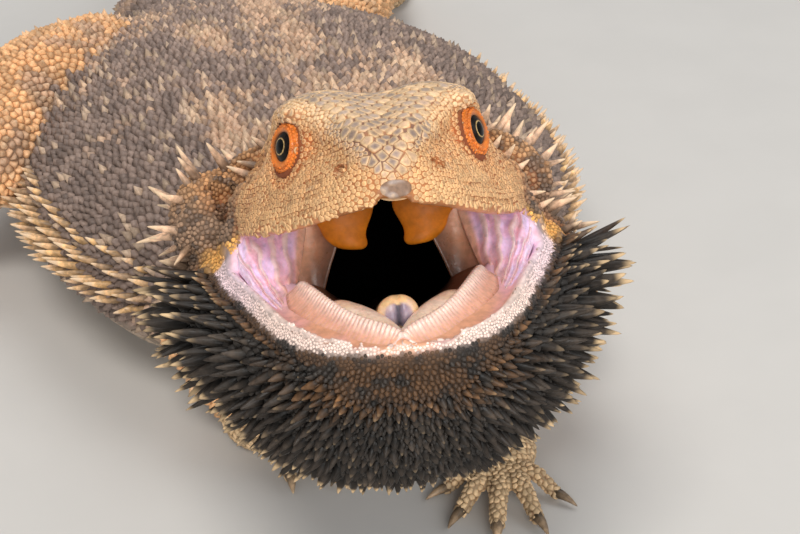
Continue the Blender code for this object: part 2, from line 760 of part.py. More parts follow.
def teeth(jaw, collection):
    """Small teeth in a row along each side of the gum ridge."""
    finder, made = surface_of(jaw), []
    for side in (1, -1):
        for i in range(12):
            y = -48.5 + 2.7 * i
            s = read(JAW, y)
            room = min(1.0, s["lip_x"] / 12.0)
            place = (side * (s["lip_x"] - 5.1 * room), y, 6.0)
            made.append(spine_on(finder, place, (0, 0, -1), (0, 0, 3), 1.1, 0.75, collection, jaw_pose, 0.7))
    fuse(jaw, [m for m in made if m])


def shade(obj):
    obj.data.shade_smooth()
    obj.data.set_sharp_from_angle(angle=math.radians(40))


def main():
    clear_scene()
    body = new_collection("bearded_dragon")
    work = new_collection("cutters")
    torso = build_trunk(body)
    build_tail(body)
    neck = build_neck(body)
    head, _ = build_head(body)
    jaw = build_jaw(body)
    cheeks = build_cheeks(body)
    beard = build_beard(body)
    tongue = build_tongue(body)
    flank_spines(torso, work)
    on_nape, on_beard = nape_spines(neck, work), beard_spines(beard, work)
    carve(neck, [gullet(work), swollen(head, work), swollen(torso, work)])
    carve(jaw, [gullet(work), swollen(head, work), swollen(neck, work)])
    for cheek in cheeks:
        carve(cheek, [gullet(work), swollen(head, work), swollen(jaw, work), swollen(neck, work)])
    trims = [head, jaw, neck, *cheeks]
    carve(beard, [gullet(work)] + [swollen(node, work) for node in trims])
    teeth(jaw, work)
    fuse(neck, only_clear(on_nape, [head, jaw, beard, torso, *cheeks]))
    fuse(beard, only_clear(on_beard, trims))
    carve(tongue, [swollen(node, work) for node in (jaw, beard, neck, *cheeks)])
    for side, joints in LIMBS.items():
        outer = 1 if side == "left" else -1
        done = [torso, neck, beard, jaw]
        for first, second, last, kind in (("arm", "fore", "hand", HAND), ("thigh", "shin", "foot", FOOT)):
            upper = build_limb(f"{first}_{side}", *joints[first], body)
            carve(upper, [swollen(node, work) for node in done])
            lower = build_limb(f"{second}_{side}", *joints[second], body)
            carve(lower, [swollen(node, work) for node in done + [upper]])
            foot = build_foot(f"{last}_{side}", *joints[last], outer, kind, body)
            carve(foot, [swollen(node, work) for node in (lower, beard)])
            done += [upper, lower]
    for obj in body.objects:
        shade(obj)
    work.hide_render = True


main()
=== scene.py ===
"""Looks of the bearded dragon: one skin over the solids, its scales and spines, the mouth and the eyes.

Lengths are in millimetres until a mesh is made, and MM turns them into metres. The animal faces -Y,
its left side is at +X, and z = 0 is the floor.
"""

import json
import math

import bmesh
import bpy
import numpy as np
from mathutils import Matrix, Quaternion, Vector
from mathutils.bvhtree import BVHTree
from mathutils.kdtree import KDTree

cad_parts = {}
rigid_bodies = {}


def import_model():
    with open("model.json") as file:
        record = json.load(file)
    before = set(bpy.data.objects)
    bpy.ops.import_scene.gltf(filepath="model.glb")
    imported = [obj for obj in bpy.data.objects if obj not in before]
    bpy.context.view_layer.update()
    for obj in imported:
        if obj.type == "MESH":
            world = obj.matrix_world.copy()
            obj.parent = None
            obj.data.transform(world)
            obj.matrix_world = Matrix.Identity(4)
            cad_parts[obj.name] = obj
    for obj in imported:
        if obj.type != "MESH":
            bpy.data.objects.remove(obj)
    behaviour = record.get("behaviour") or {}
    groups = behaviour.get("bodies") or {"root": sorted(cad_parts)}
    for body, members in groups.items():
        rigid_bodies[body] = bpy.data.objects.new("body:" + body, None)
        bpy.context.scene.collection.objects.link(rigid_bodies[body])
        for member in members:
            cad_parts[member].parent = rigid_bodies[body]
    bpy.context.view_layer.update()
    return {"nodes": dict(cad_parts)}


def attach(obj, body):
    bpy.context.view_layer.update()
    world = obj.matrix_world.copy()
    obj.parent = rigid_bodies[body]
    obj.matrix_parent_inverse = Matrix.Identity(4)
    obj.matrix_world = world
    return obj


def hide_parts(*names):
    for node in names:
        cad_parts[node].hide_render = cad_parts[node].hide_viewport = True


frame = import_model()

# Driving dimensions of the solids, in millimetres and degrees
MM = 0.001
HEAD_ORIGIN = Vector((-17.0, -118.0, 74.0))
HEAD_YAW, HEAD_PITCH, HEAD_ROLL = -16.6, -33.0, -3.6
GAPE = 24.4
EYE_RADIUS = 5.3
EYE_CENTRE = Vector((12.0, -30.5, 10.8))
GAZE = Vector((0.85, -0.51, 0.12)).normalized()
TRUNK_FRONT, TRUNK_BACK = -86.0, 94.0
TAIL_LENGTH = 245.0
TAIL_BEND = 34.0

# The skin's mesh, and how deep it lies below the solids so that the scales reach their surface
VOXEL = 0.75
COAT_DEPTH = 0.35
FLOOR_GAP = 0.05

# Size of a scale's patch on the bake map
PATCH = 0.003

TRUNK = {
    "y": (-86, -74, -60, -40, -12, 18, 42, 62, 78, 94),
    "half": (27, 36, 47, 58, 64, 64.5, 58, 44, 31, 21),
    "top": (53, 55, 55, 54, 52.5, 50, 47, 43, 38.5, 33),
    "bottom": (15, 9, 3, -2, -3.5, -3.5, -3.5, -3, -1.5, 1),
    "edge": (34, 31, 28, 25.5, 24, 23, 22, 21, 19.5, 17),
}
HEAD = {
    "y": (-56, -54.6, -52, -48, -42, -36, -30, -24, -17, -10, -3, 4),
    "top": (4.6, 7.6, 9.8, 12.2, 14.8, 17.2, 19.4, 20.6, 21.0, 21.0, 20.4, 19.0),
    "brow_x": (1.8, 3.6, 5.2, 7.2, 9.6, 12.4, 15.4, 16.6, 16.8, 17.4, 18.2, 18.6),
    "brow_z": (3.8, 6.2, 8.4, 10.8, 13.6, 16.6, 18.6, 18.9, 18.4, 17.6, 16.6, 15.4),
    "cheek_x": (3.0, 5.0, 7.4, 10.0, 12.8, 15.4, 18.0, 21.0, 24.0, 26.2, 27.2, 27.0),
    "cheek_z": (2.6, 3.2, 3.8, 4.6, 5.4, 5.8, 6.0, 6.2, 6.2, 6.0, 5.6, 5.0),
    "lip_x": (3.6, 6.4, 9.0, 12.0, 15.2, 18.2, 20.8, 23.2, 25.0, 26.2, 26.6, 26.2),
    "lip_z": (-1.8, -1.9, -2.1, -2.4, -2.7, -2.8, -2.6, -2.2, -1.6, -0.9, -0.3, 0.3),
    "palate": (-0.6, -0.2, 0.8, 2.4, 4.4, 6.0, 7.0, 7.6, 8.2, 8.5, 8.6, 8.4),
}
JAW = {
    "y": (-52.2, -51.6, -50.2, -47, -41.5, -36, -30, -24, -18, -11, -4, 2),
    "lip_x": (5.5, 8.2, 11.8, 15.8, 19.3, 21.6, 23.6, 25.8, 28.0, 29.4, 29.4, 28.6),
    "depth": (3.0, 5.0, 7.0, 9.0, 10.0, 10.5, 11.0, 11.0, 11.0, 11.0, 10.5, 10.0),
}
BEARD = {
    "y": (-53.2, -52.2, -49.8, -45, -39, -30, -18, -5, 8, 17),
    "half": (6.5, 9.8, 14.4, 19.2, 23.8, 29.4, 34.6, 37.2, 36.2, 32.0),
    "top": (-2.6, -3.2, -5.4, -7.4, -8.2, -8.8, -8.8, -8.8, -8.0, -8.0),
    "depth": (7.0, 10.5, 16.5, 24.5, 31.5, 36.5, 37.5, 35.0, 28.5, 20.0),
}
GUM = {
    "y": (-50.4, -49.6, -47.8, -45.5, -42, -37.8, -31.5, -22.0, -12.0),
    "x": (0.0, 0.4, 2.5, 5.2, 8.0, 10.6, 13.5, 17.2, 20.0),
    "z": (-0.5, -0.2, 0.0, 0.1, 0.2, 0.5, 0.7, 0.6, -1.2),
}
JOWL = ((-30.0, 6.0, 3.2), (8.5, 9.0, 9.4))
LIMBS = {
    "left": {
        "arm": ((27, -58, 28), (36, -72, 27), (38, -83, 25), (11.5, 9.0, 7.2)),
        "fore": ((38, -83, 25), (30, -90, 17), (19, -95, 9.5), (6.1, 6.2, 5.0)),
        "hand": ((19, -95), -116.0),
        "thigh": ((24, 66, 24), (41, 85, 25), (56, 104, 25), (16.0, 14.0, 10.5)),
        "shin": ((56, 104, 25), (66, 121, 18), (74, 138, 10.5), (8.9, 8.4, 6.2)),
        "foot": ((74, 138), 62.0),
    },
    "right": {
        "arm": ((-29, -50, 28), (-37, -59, 26), (-41, -67, 24), (11.0, 8.6, 7.0)),
        "fore": ((-41, -67, 24), (-38, -69, 16), (-34, -71, 9.0), (5.9, 5.8, 4.8)),
        "hand": ((-34, -71), -42.0),
        "thigh": ((-32, 63, 26), (-55, 41, 32), (-70, 14, 32), (17.0, 15.0, 11.5)),
        "shin": ((-70, 14, 32), (-83, 18, 21), (-94, 24, 10.5), (9.7, 8.8, 6.4)),
        "foot": ((-94, 24), -124.0),
    },
}
HAND = {"toes": ((-52, 11, 1.9), (-24, 15, 2.1), (2, 17, 2.2), (28, 16, 2.1), (58, 12, 1.9)),
        "palm": (9.5, 7.6, 4.6), "height": 3.2}
FOOT = {"toes": ((-44, 14, 2.1), (-20, 20, 2.3), (0, 26, 2.4), (17, 31, 2.4), (58, 19, 2.2)),
        "palm": (16.0, 8.0, 5.2), "height": 3.6}
CLAW = 5.0

# Linear colours of the living animal, and a few dark ones that serve as painted shade
COLOURS = {
    "tongue": (0.80, 0.52, 0.27),
    "tongue_tip": (0.33, 0.25, 0.31),
    # Near black, painted shade in the slit between the lobes of the tongue's tip
    "tongue_slit": (0.06, 0.05, 0.07),
    "tongue_pink": (0.62, 0.46, 0.42),
    "pad_corner": (0.90, 0.76, 0.92),
    "claw": (0.22, 0.15, 0.09),
    "mauve": (0.37, 0.26, 0.205),
    "mauve_dark": (0.21, 0.15, 0.125),
    "tan": (0.60, 0.385, 0.25),
    "cream": (0.80, 0.58, 0.38),
    "thigh": (0.78, 0.44, 0.21),
    "belly": (0.66, 0.53, 0.38),
    "toe": (0.62, 0.46, 0.27),
    "flank_spine": (0.48, 0.285, 0.12),
    "crown": (0.76, 0.51, 0.3),
    "crown_grey": (0.36, 0.275, 0.235),
    "crown_edge": (0.86, 0.57, 0.29),
    "face": (0.6, 0.31, 0.125),
    "face_orange": (0.56, 0.21, 0.06),
    "labial": (0.67, 0.375, 0.165),
    "jowl": (0.3, 0.185, 0.115),
    "jowl_dark": (0.12, 0.085, 0.066),
    "corner": (0.88, 0.46, 0.12),
    "charcoal": (0.011, 0.008, 0.006),
    "slate": (0.032, 0.024, 0.018),
    "chin_brown": (0.095, 0.045, 0.017),
    "tip": (0.68, 0.48, 0.27),
    # Dark brown, used as painted shade at the lids' rim and in their wrinkles
    "crease": (0.30, 0.13, 0.05),
    "lilac": (0.93, 0.68, 0.95),
    "pink": (0.93, 0.5, 0.58),
    "peach": (0.82, 0.43, 0.265),
    "lip_white": (0.93, 0.72, 0.63),
    "lip_lilac": (0.92, 0.71, 0.8),
    "lobe": (0.5, 0.15, 0.006),
    "curtain": (0.8, 0.37, 0.2),
    # Near black: painted shadow for the throat, the middle of the mouth's floor and the back of the tongue
    "throat": (0.002, 0.001, 0.001),
    "lid": (0.68, 0.18, 0.022),
    "rostral": (0.23, 0.135, 0.085),
}

random = np.random.default_rng(7)


# Shared tools
def smooth_value(knots, values, at):
    """A cubic through the knots that doesn't swing past its neighbours."""
    knots, values = np.asarray(knots, float), np.asarray(values, float)
    steps = np.diff(values) / np.diff(knots)
    slopes = np.zeros(len(knots))
    for i in range(1, len(knots) - 1):
        before, after = steps[i - 1], steps[i]
        if before * after > 0:
            slopes[i] = 2 * before * after / (before + after)
    slopes[0], slopes[-1] = steps[0], steps[-1]
    i = int(np.clip(np.searchsorted(knots, at) - 1, 0, len(knots) - 2))
    width = knots[i + 1] - knots[i]
    t = (at - knots[i]) / width
    ease = t * t * (3 - 2 * t)
    tangents = slopes[i] * t * (1 - t) ** 2 - slopes[i + 1] * t * t * (1 - t)
    return float(values[i] * (1 - ease) + values[i + 1] * ease + width * tangents)


def read(table, y):
    return {name: smooth_value(table["y"], table[name], y) for name in table}


def rounded(points, per_side):
    """A closed outline drawn smoothly through its points, with per_side points for each."""
    count, made = len(points), []
    for i in range(count):
        a, b, c, d = (np.array(points[(i + k) % count], float) for k in (-1, 0, 1, 2))
        for k in range(per_side):
            t = k / per_side
            made.append(
                0.5 * (2 * b + (c - a) * t + (2 * a - 5 * b + 4 * c - d) * t**2
                       + (3 * b - a - 3 * c + d) * t**3)
            )
    return np.array(made)


def mirrored(half):
    return list(half) + [(-x, z) for x, z in reversed(half[1:-1])]


def unit(vectors):
    return vectors / np.maximum(np.linalg.norm(vectors, axis=-1, keepdims=True), 1e-9)


def ease(low, high, values):
    """0 below low, 1 above high, and smooth between."""
    t = np.clip((values - low) / (high - low), 0, 1)
    return t * t * (3 - 2 * t)


def all_round(count):
    """Even angles of a whole turn."""
    return 2 * np.pi * np.arange(count) / count


def blend(a, b, share):
    return a + (b - a) * np.asarray(share)[..., None]


def colour(name):
    return np.array(COLOURS[name])


def layered(base, *layers):
    """Colours laid over a base one after another, each by its share. A string names its colour."""
    base, *shades = (colour(c) if isinstance(c, str) else c for c in (base, *(shade for shade, _ in layers)))
    for shade, (_, share) in zip(shades, layers):
        base = blend(base, shade, share)
    return base


def tree_of(points):
    """A tree that finds the points nearest to a place."""
    tree = KDTree(len(points))
    for i, p in enumerate(points):
        tree.insert(p, i)
    tree.balance()
    return tree


def noise(points, size, seed=0):
    """Smooth noise from 0 to 1 at points, with bumps of about the given size."""
    q = points / size + 100.0
    cell = np.floor(q).astype(np.int64)
    f = q - cell
    f = f * f * (3 - 2 * f)
    total = np.zeros(len(points))
    for corner in np.ndindex(2, 2, 2):
        k = cell + np.array(corner)
        h = (k[:, 0] * 73856093) ^ (k[:, 1] * 19349663) ^ (k[:, 2] * 83492791) ^ (seed * 2654435761)
        h = (h ^ (h >> 13)) * 1274126177 & 0x7FFFFFFF
        weight = np.prod(np.where(np.array(corner), f, 1 - f), axis=1)
        total += weight * ((h ^ (h >> 16)) & 0xFFFF) / 65535.0
    return total


class Place:
    """A local frame: an origin and a turn, in millimetres."""

    def __init__(self, origin, turn):
        self.origin, self.turn = np.array(origin), np.array(turn)

    def out(self, points):
        return np.asarray(points) @ self.turn.T + self.origin

    def into(self, points):
        return (np.asarray(points) - self.origin) @ self.turn

    def way(self, vectors):
        return np.asarray(vectors) @ self.turn.T


turn_head = (
    Matrix.Rotation(math.radians(HEAD_YAW), 3, "Z")
    @ Matrix.Rotation(math.radians(HEAD_PITCH), 3, "X")
    @ Matrix.Rotation(math.radians(HEAD_ROLL), 3, "Y")
)
turn_jaw = turn_head @ Matrix.Rotation(math.radians(GAPE), 3, "X")
head_place = Place(HEAD_ORIGIN, turn_head)
jaw_place = Place(HEAD_ORIGIN, turn_jaw)
world_place = Place((0, 0, 0), Matrix.Identity(3))


def make_mesh(name, verts, faces, smooth=True):
    """A mesh from points in millimetres and lists of faces, each a numpy array of one face size."""
    mesh = bpy.data.meshes.new(name)
    verts = np.asarray(verts, np.float64) * MM
    faces = [np.asarray(f, np.int32) for f in faces if len(f)]
    corners = np.concatenate([f.ravel() for f in faces])
    sizes = np.concatenate([np.full(len(f), f.shape[1], np.int32) for f in faces])
    starts = np.concatenate([[0], np.cumsum(sizes)[:-1]]).astype(np.int32)
    mesh.vertices.add(len(verts))
    mesh.vertices.foreach_set("co", verts.astype(np.float32).ravel())
    mesh.loops.add(len(corners))
    mesh.loops.foreach_set("vertex_index", corners)
    mesh.polygons.add(len(sizes))
    mesh.polygons.foreach_set("loop_start", starts)
    mesh.polygons.foreach_set("use_smooth", np.full(len(sizes), smooth))
    mesh.update(calc_edges=True)
    mesh.validate()
    return mesh


def welded(mesh, gap, outward=True):
    """Joins the mesh's points that lie within a gap in metres, and turns its faces outward."""
    bm = bmesh.new()
    bm.from_mesh(mesh)
    bmesh.ops.remove_doubles(bm, verts=bm.verts, dist=gap)
    if outward:
        bmesh.ops.recalc_face_normals(bm, faces=bm.faces)
    bm.to_mesh(mesh)
    bm.free()


def add_values(mesh, name, values):
    values = np.asarray(values, np.float32)
    if values.ndim == 2:
        made = mesh.attributes.new(name, "FLOAT_COLOR", "POINT")
        made.data.foreach_set("color", np.c_[values, np.ones(len(values))].astype(np.float32).ravel())
    else:
        made = mesh.attributes.new(name, "FLOAT", "POINT")
        made.data.foreach_set("value", values)


def add_map(mesh, at):
    """The bake map, from one place on the unwrap for each vertex."""
    corners = np.empty(len(mesh.loops), np.int32)
    mesh.loops.foreach_get("vertex_index", corners)
    layer = mesh.uv_layers.new(name="OFBake")
    layer.uv.foreach_set("vector", np.asarray(at, np.float32)[corners].ravel())


def add_piece(name, mesh, material, replaced=()):
    obj = bpy.data.objects.new(name, mesh)
    bpy.context.scene.collection.objects.link(obj)
    mesh.materials.append(material)
    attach(obj, "root")
    if replaced:
        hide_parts(*replaced)


# Source forms of the skin
class Forms:
    """Closed rings of flesh, with where each point lies along and around its form, and the coat's lie."""

    def __init__(self):
        self.verts, self.faces, self.names = [], [], []
        self.name, self.along, self.around, self.lie = [], [], [], []

    def add(self, name, rings, along, around, lies):
        if name not in self.names:
            self.names.append(name)
        rings = np.asarray(rings, float)
        rows, columns, _ = rings.shape
        start = sum(len(v) for v in self.verts)
        self.verts.append(rings.reshape(-1, 3))
        index = start + np.arange(rows * columns).reshape(rows, columns)
        following = np.roll(index, -1, axis=1)
        quads = np.stack([index[:-1], following[:-1], following[1:], index[1:]], -1).reshape(-1, 4)
        self.faces += [tuple(q) for q in quads] + [tuple(index[0][::-1]), tuple(index[-1])]
        self.name.append(np.full(rows * columns, self.names.index(name)))
        self.along.append(np.repeat(along, columns))
        self.around.append(np.tile(around, rows))
        self.lie.append(np.repeat(np.asarray(lies, float), columns, axis=0))

    def joined(self):
        return (np.concatenate(self.verts), np.concatenate(self.name), np.concatenate(self.along),
                np.concatenate(self.around), np.concatenate(self.lie))


def trunk_ring(half, top, bottom, edge, x=0.0, y=0.0, heading=0.0, floor=True, count=72):
    t = all_round(count)
    side, height = np.cos(t), np.sin(t)
    out = half * np.copysign(np.abs(side) ** 0.9, side)
    z = edge + np.where(height > 0, top - edge, edge - bottom) * height
    z = np.maximum(z, 0.0) if floor else z
    return np.stack([x + out * math.cos(heading), y + out * math.sin(heading), z], -1)


def add_trunk(forms):
    stations = np.linspace(TRUNK_FRONT - 4, TRUNK_BACK + 3, 76)
    rings = []
    for y in stations:
        s = read(TRUNK, min(max(y, TRUNK_FRONT), TRUNK_BACK))
        rings.append(trunk_ring(s["half"], s["top"], s["bottom"], s["edge"], y=y))
    around = np.arange(72) / 72
    forms.add("trunk", rings, np.linspace(0, 1, 76), around, np.tile((0, 1, 0), (76, 1)))


def tail_station(share):
    x, y, steps = 0.0, TRUNK_BACK, 120
    for i in range(steps):
        angle = math.radians(TAIL_BEND) * math.sin(math.pi * 0.75 * share * (i + 0.5) / steps)
        x += math.sin(angle) * TAIL_LENGTH * share / steps
        y += math.cos(angle) * TAIL_LENGTH * share / steps
    heading = -math.radians(TAIL_BEND) * math.sin(math.pi * 0.75 * share)
    half = 1.6 + 19.4 * (1 - share) ** 1.7
    top = 3.0 + 30.0 * (1 - share) ** 1.6
    return x, y, heading, half, top


def add_tail(forms):
    shares, rings, lies = np.linspace(0, 1, 90), [], []
    for share in shares:
        x, y, heading, half, top = tail_station(share)
        bottom = 1.0 * max(0.0, 1 - 8 * share) - 0.3 * min(1.0, 8 * share)
        rings.append(trunk_ring(half, top, bottom, top * 0.5, x, y, heading, count=48))
        lies.append((-math.sin(heading), math.cos(heading), 0))
    forms.add("tail", rings, shares, np.arange(48) / 48, lies)


def neck_station(t):
    """Centre, turn and section sizes of the neck at a share of its length."""
    tail_end = read(TRUNK, TRUNK_FRONT)
    back = {"half": tail_end["half"], "top": tail_end["top"] - 34, "bottom": tail_end["bottom"] - 34}
    front = {"half": 33.0, "top": 13.5, "bottom": -19.0}
    start = Vector((0, TRUNK_FRONT, 34))
    end = HEAD_ORIGIN + turn_head @ Vector((0, 4.3, 5.5))
    lead = turn_head @ Vector((0, 1, 0))
    handle_a, handle_b = start + Vector((0, -11, 1)), end + lead * 11
    u = 1 - t
    centre = start * u**3 + handle_a * 3 * u * u * t + handle_b * 3 * u * t * t + end * t**3
    turn = Quaternion().slerp(turn_head.to_quaternion(), min(max(t, 0.0), 1.0))
    size = {k: back[k] * u + front[k] * t for k in front}
    return centre, turn, size


def add_neck(forms):
    shares, rings, lies = np.linspace(-0.06, 1.05, 34), [], []
    for t in shares:
        centre, turn, size = neck_station(t)
        flat = trunk_ring(size["half"], size["top"], size["bottom"], 0.0, floor=False)
        rings.append([centre + turn @ Vector(p) for p in flat])
        lies.append(turn @ Vector((0, 1, 0)))
    forms.add("neck", rings, shares, np.arange(72) / 72, lies)


def head_outline(s):
    lip, gum = s["lip_x"], s["lip_x"] - min(3.0, 0.45 * s["lip_x"])
    side_z = 0.5 * (s["brow_z"] + s["cheek_z"])
    side_x = 0.55 * s["brow_x"] + 0.45 * s["cheek_x"]
    return [
        (0, s["top"] - 0.4),
        (0.55 * s["brow_x"], s["top"] + 0.8),
        (s["brow_x"], s["brow_z"]),
        (side_x, side_z),
        (s["cheek_x"], s["cheek_z"]),
        (lip, s["lip_z"] + 1.6),
        (lip - 0.4, s["lip_z"]),
        (gum, s["lip_z"] + 0.6),
        (0.72 * gum, 0.7 * s["palate"]),
        (0.35 * gum, s["palate"]),
        (0, s["palate"]),
    ]


def jaw_outline(s):
    lip, depth = s["lip_x"], s["depth"]
    room = min(1.0, lip / 12.0)
    gum = max(float(np.interp(s["y"], GUM["y"], GUM["x"])), 0.12 * lip)
    top = float(np.interp(s["y"], GUM["y"], GUM["z"])) - 1.0
    floor = -0.52 * depth + 2.0 * float(ease(-44, -50, s["y"]))
    return [
        (0, floor),
        (0.5 * gum, floor),
        (gum - 0.9 * room, 0.4 * floor),
        (gum, top),
        (0.45 * gum + 0.55 * (lip - 3.6 * room), -1.5 * room + 0.25 * top),
        (lip - 3.4 * room, -2.2 * room),
        (lip - 2.1 * room, -0.5),
        (lip - 0.7 * room, 0.3),
        (lip, -1.6),
        (lip - 1.6 * room, -0.6 * depth),
        (0.5 * lip, -0.95 * depth),
        (0, -depth),
    ]


def beard_outline(s, lip):
    half, depth = s["half"], s["depth"]
    return [
        (0, s["top"]),
        (0.6 * lip, s["top"]),
        (lip + 0.5, -2.0),
        (0.4 * lip + 0.6 * half + 0.4, -0.12 * depth - 1.8),
        (half, -0.3 * depth),
        (0.93 * half, -0.5 * depth),
        (0.74 * half, -0.76 * depth),
        (0.4 * half, -0.95 * depth),
        (0, -depth),
    ]


def add_outlined(forms, name, table, outline, place, count, per_side):
    """A form lofted through half outlines that share their number of points."""
    first, last = table["y"][0], table["y"][-1]
    stations = [first + (last - first) * (i / (count - 1)) ** 1.5 for i in range(count)]
    rings = []
    for y in stations:
        half = outline(y)
        flat = rounded(mirrored(half), per_side)
        rings.append(place.out(np.c_[flat[:, 0], np.full(len(flat), y), flat[:, 1]]))
    size = len(half)
    around = np.arange((2 * size - 2) * per_side) / per_side
    around = np.where(around > size - 1, 2 * size - 2 - around, around)
    forms.add(name, rings, stations, around, np.tile(place.way((0, 1, 0)), (count, 1)))


def add_ball(forms, name, centre, radii, place, lie=(0, 1, 0), turn=None):
    rows, columns = 18, 28
    a = np.pi * (np.arange(rows) + 0.5) / rows
    b = all_round(columns)
    rings = []
    for angle in a:
        flat = np.stack([math.sin(angle) * np.cos(b), math.sin(angle) * np.sin(b),
                         np.full(columns, math.cos(angle))], -1) * radii
        flat = flat @ np.array(turn).T if turn is not None else flat
        rings.append(place.out(flat + np.array(centre)))
    forms.add(name, rings, np.arange(rows) / rows, np.arange(columns) / columns,
              np.tile(place.way(lie), (rows, 1)))


def smooth_path(points, radii, steps):
    knots = range(len(points))
    at = np.linspace(0, len(points) - 1, steps)
    rows = [[smooth_value(knots, [p[k] for p in points], t) for k in range(3)] for t in at]
    return np.array(rows), np.array([smooth_value(knots, radii, t) for t in at])


def add_tube(forms, name, points, radii, steps=14, sides=32):
    """A round limb or toe with rounded ends."""
    path, widths = smooth_path(points, radii, steps)
    lies = unit(np.gradient(path, axis=0))
    before = [path[0] - lies[0] * widths[0] * k for k in (0.9, 0.55)]
    after = [path[-1] + lies[-1] * widths[-1] * k for k in (0.55, 0.9)]
    path = np.array(before + list(path) + after)
    widths = np.array([widths[0] * 0.42, widths[0] * 0.84, *widths, widths[-1] * 0.84, widths[-1] * 0.42])
    lies = np.array([lies[0]] * 2 + list(lies) + [lies[-1]] * 2)
    up = np.array((0.0, 0.0, 1.0)) if abs(lies[0][2]) < 0.9 else np.array((1.0, 0.0, 0.0))
    t = all_round(sides)
    rings = []
    for centre, width, lie in zip(path, widths, lies):
        side = unit(np.cross(lie, up))
        over = np.cross(side, lie)
        rings.append(centre + width * (np.cos(t)[:, None] * side + np.sin(t)[:, None] * over))
    forms.add(name, rings, np.linspace(0, 1, len(rings)), np.arange(sides) / sides, lies)


def toe_paths(place, heading, outer, kind):
    """The palm's centre and turn, and each toe's root, knuckle, tip, direction and radius."""
    start, along = np.array((*place, 0.0)), math.radians(heading)
    ahead = np.array((math.cos(along), math.sin(along), 0))
    length, width, _ = kind["palm"]
    centre = start + ahead * length * 0.75 + np.array((0, 0, kind["height"]))
    toes = []
    for angle, reach, radius in kind["toes"]:
        direction = along + math.radians(angle) * outer
        way = np.array((math.cos(direction), math.sin(direction), 0))
        root = centre + ahead * length * 0.42 + way * width * 0.3
        knuckle = root + way * reach * 0.5 + np.array((0, 0, 1.2))
        tip = root + way * reach
        root[2], tip[2] = kind["height"], radius * 0.8
        toes.append((root, knuckle, tip, way, radius))
    return start, ahead, centre, Matrix.Rotation(along, 3, "Z"), toes


def add_limbs(forms):
    for side, joints in LIMBS.items():
        outer = 1 if side == "left" else -1
        for first, second, last, kind in (("arm", "fore", "hand", HAND), ("thigh", "shin", "foot", FOOT)):
            *path, radii = joints[first]
            add_tube(forms, f"{first}_{side}", path, radii)
            *path, radii = joints[second]
            add_tube(forms, f"{second}_{side}", path, radii)
            start, ahead, centre, turn, toes = toe_paths(*joints[last], outer, kind)
            name = f"{last}_{side}"
            add_ball(forms, name, centre, kind["palm"], world_place, ahead, turn)
            heel = [start + (0, 0, 9), start + (0, 0, 5) + ahead * 2, centre]
            add_tube(forms, name, heel, (4.4, 5.4, 4.4), 6, 20)
            for root, knuckle, tip, way, radius in toes:
                wide = (radius * 1.1, radius * 1.0, radius * 0.8)
                add_tube(forms, name, [root - way * 3, knuckle, tip], wide, 12, 18)


def add_head_forms(forms):
    add_outlined(forms, "head", HEAD, lambda y: head_outline(read(HEAD, y)), head_place, 70, 6)
    add_outlined(forms, "jaw", JAW, lambda y: jaw_outline(read(JAW, y)), jaw_place, 60, 6)
    add_outlined(forms, "beard", BEARD,
                 lambda y: beard_outline(read(BEARD, y), read(JAW, min(y, JAW["y"][-1]))["lip_x"]),
                 jaw_place, 56, 8)
    add_ball(forms, "jowl", *JOWL, head_place)
    for side in (1, -1):
        add_ball(forms, "head", (side * 14.2, -28.5, 16.4), (2.3, 9.0, 1.8), head_place)
        add_ball(forms, "cheek", (side * 25.4, -5.0, -4.4), (4.4, 10.0, 7.4), head_place)
        add_ball(forms, "column", (side * 18.6, -2.5, -1.5), (6.5, 8.0, 11.0), head_place)


def cutter_ball(centre, radii, place, collection):
    mesh = bpy.data.meshes.new("cutter")
    bm = bmesh.new()
    bmesh.ops.create_uvsphere(bm, u_segments=48, v_segments=32, radius=1)
    for vert in bm.verts:
        vert.co = Vector(place.out(np.array(vert.co) * radii + np.array(centre))) * MM
    bm.to_mesh(mesh)
    bm.free()
    obj = bpy.data.objects.new("cutter", mesh)
    collection.objects.link(obj)
    return obj


def evaluated(obj):
    bpy.context.view_layer.update()
    graph = bpy.context.evaluated_depsgraph_get()
    return bpy.data.meshes.new_from_object(obj.evaluated_get(graph))


def mesh_points(mesh):
    co = np.empty(len(mesh.vertices) * 3, np.float32)
    mesh.vertices.foreach_get("co", co)
    return co.reshape(-1, 3).astype(float) / MM


def mesh_normals(mesh):
    found = np.empty(len(mesh.vertices) * 3, np.float32)
    mesh.vertex_normals.foreach_get("vector", found)
    return found.reshape(-1, 3).astype(float)


def mesh_edges(mesh):
    found = np.empty(len(mesh.edges) * 2, np.int32)
    mesh.edges.foreach_get("vertices", found)
    return found.reshape(-1, 2)


def averaged(values, edges, rounds, share=0.5):
    """Values eased towards those of their neighbours along the edges."""
    values = np.asarray(values, float)
    flat = values.reshape(len(values), -1)
    count = np.bincount(edges.ravel(), minlength=len(values)).clip(1)
    for _ in range(rounds):
        total = np.stack([
            np.bincount(edges[:, 0], flat[edges[:, 1], k], len(values))
            + np.bincount(edges[:, 1], flat[edges[:, 0], k], len(values))
            for k in range(flat.shape[1])
        ], -1)
        flat = flat + share * (total / count[:, None] - flat)
    return flat.reshape(values.shape)


def in_fixed_order(mesh):
    """The same mesh with its faces sorted, because a cut gives them in another order each time."""
    corners = np.empty(len(mesh.loops), np.int32)
    mesh.loops.foreach_get("vertex_index", corners)
    starts, sizes = np.empty((2, len(mesh.polygons)), np.int32)
    mesh.polygons.foreach_get("loop_start", starts)
    mesh.polygons.foreach_get("loop_total", sizes)
    faces = []
    for size in np.unique(sizes):
        rows = corners[starts[sizes == size, None] + np.arange(size)]
        first = rows.argmin(1)[:, None]
        rows = np.take_along_axis(rows, (first + np.arange(size)) % size, 1)
        faces.append(rows[np.lexsort(rows.T[::-1])])
    return make_mesh("skin", mesh_points(mesh), faces)


# How far from the middle the wet skin ends at the corners of the mouth
CORNER = 26.8

GULLET = {"centre": (0, -4, -5.5), "radii": (13.5, 31.0, 13.0)}


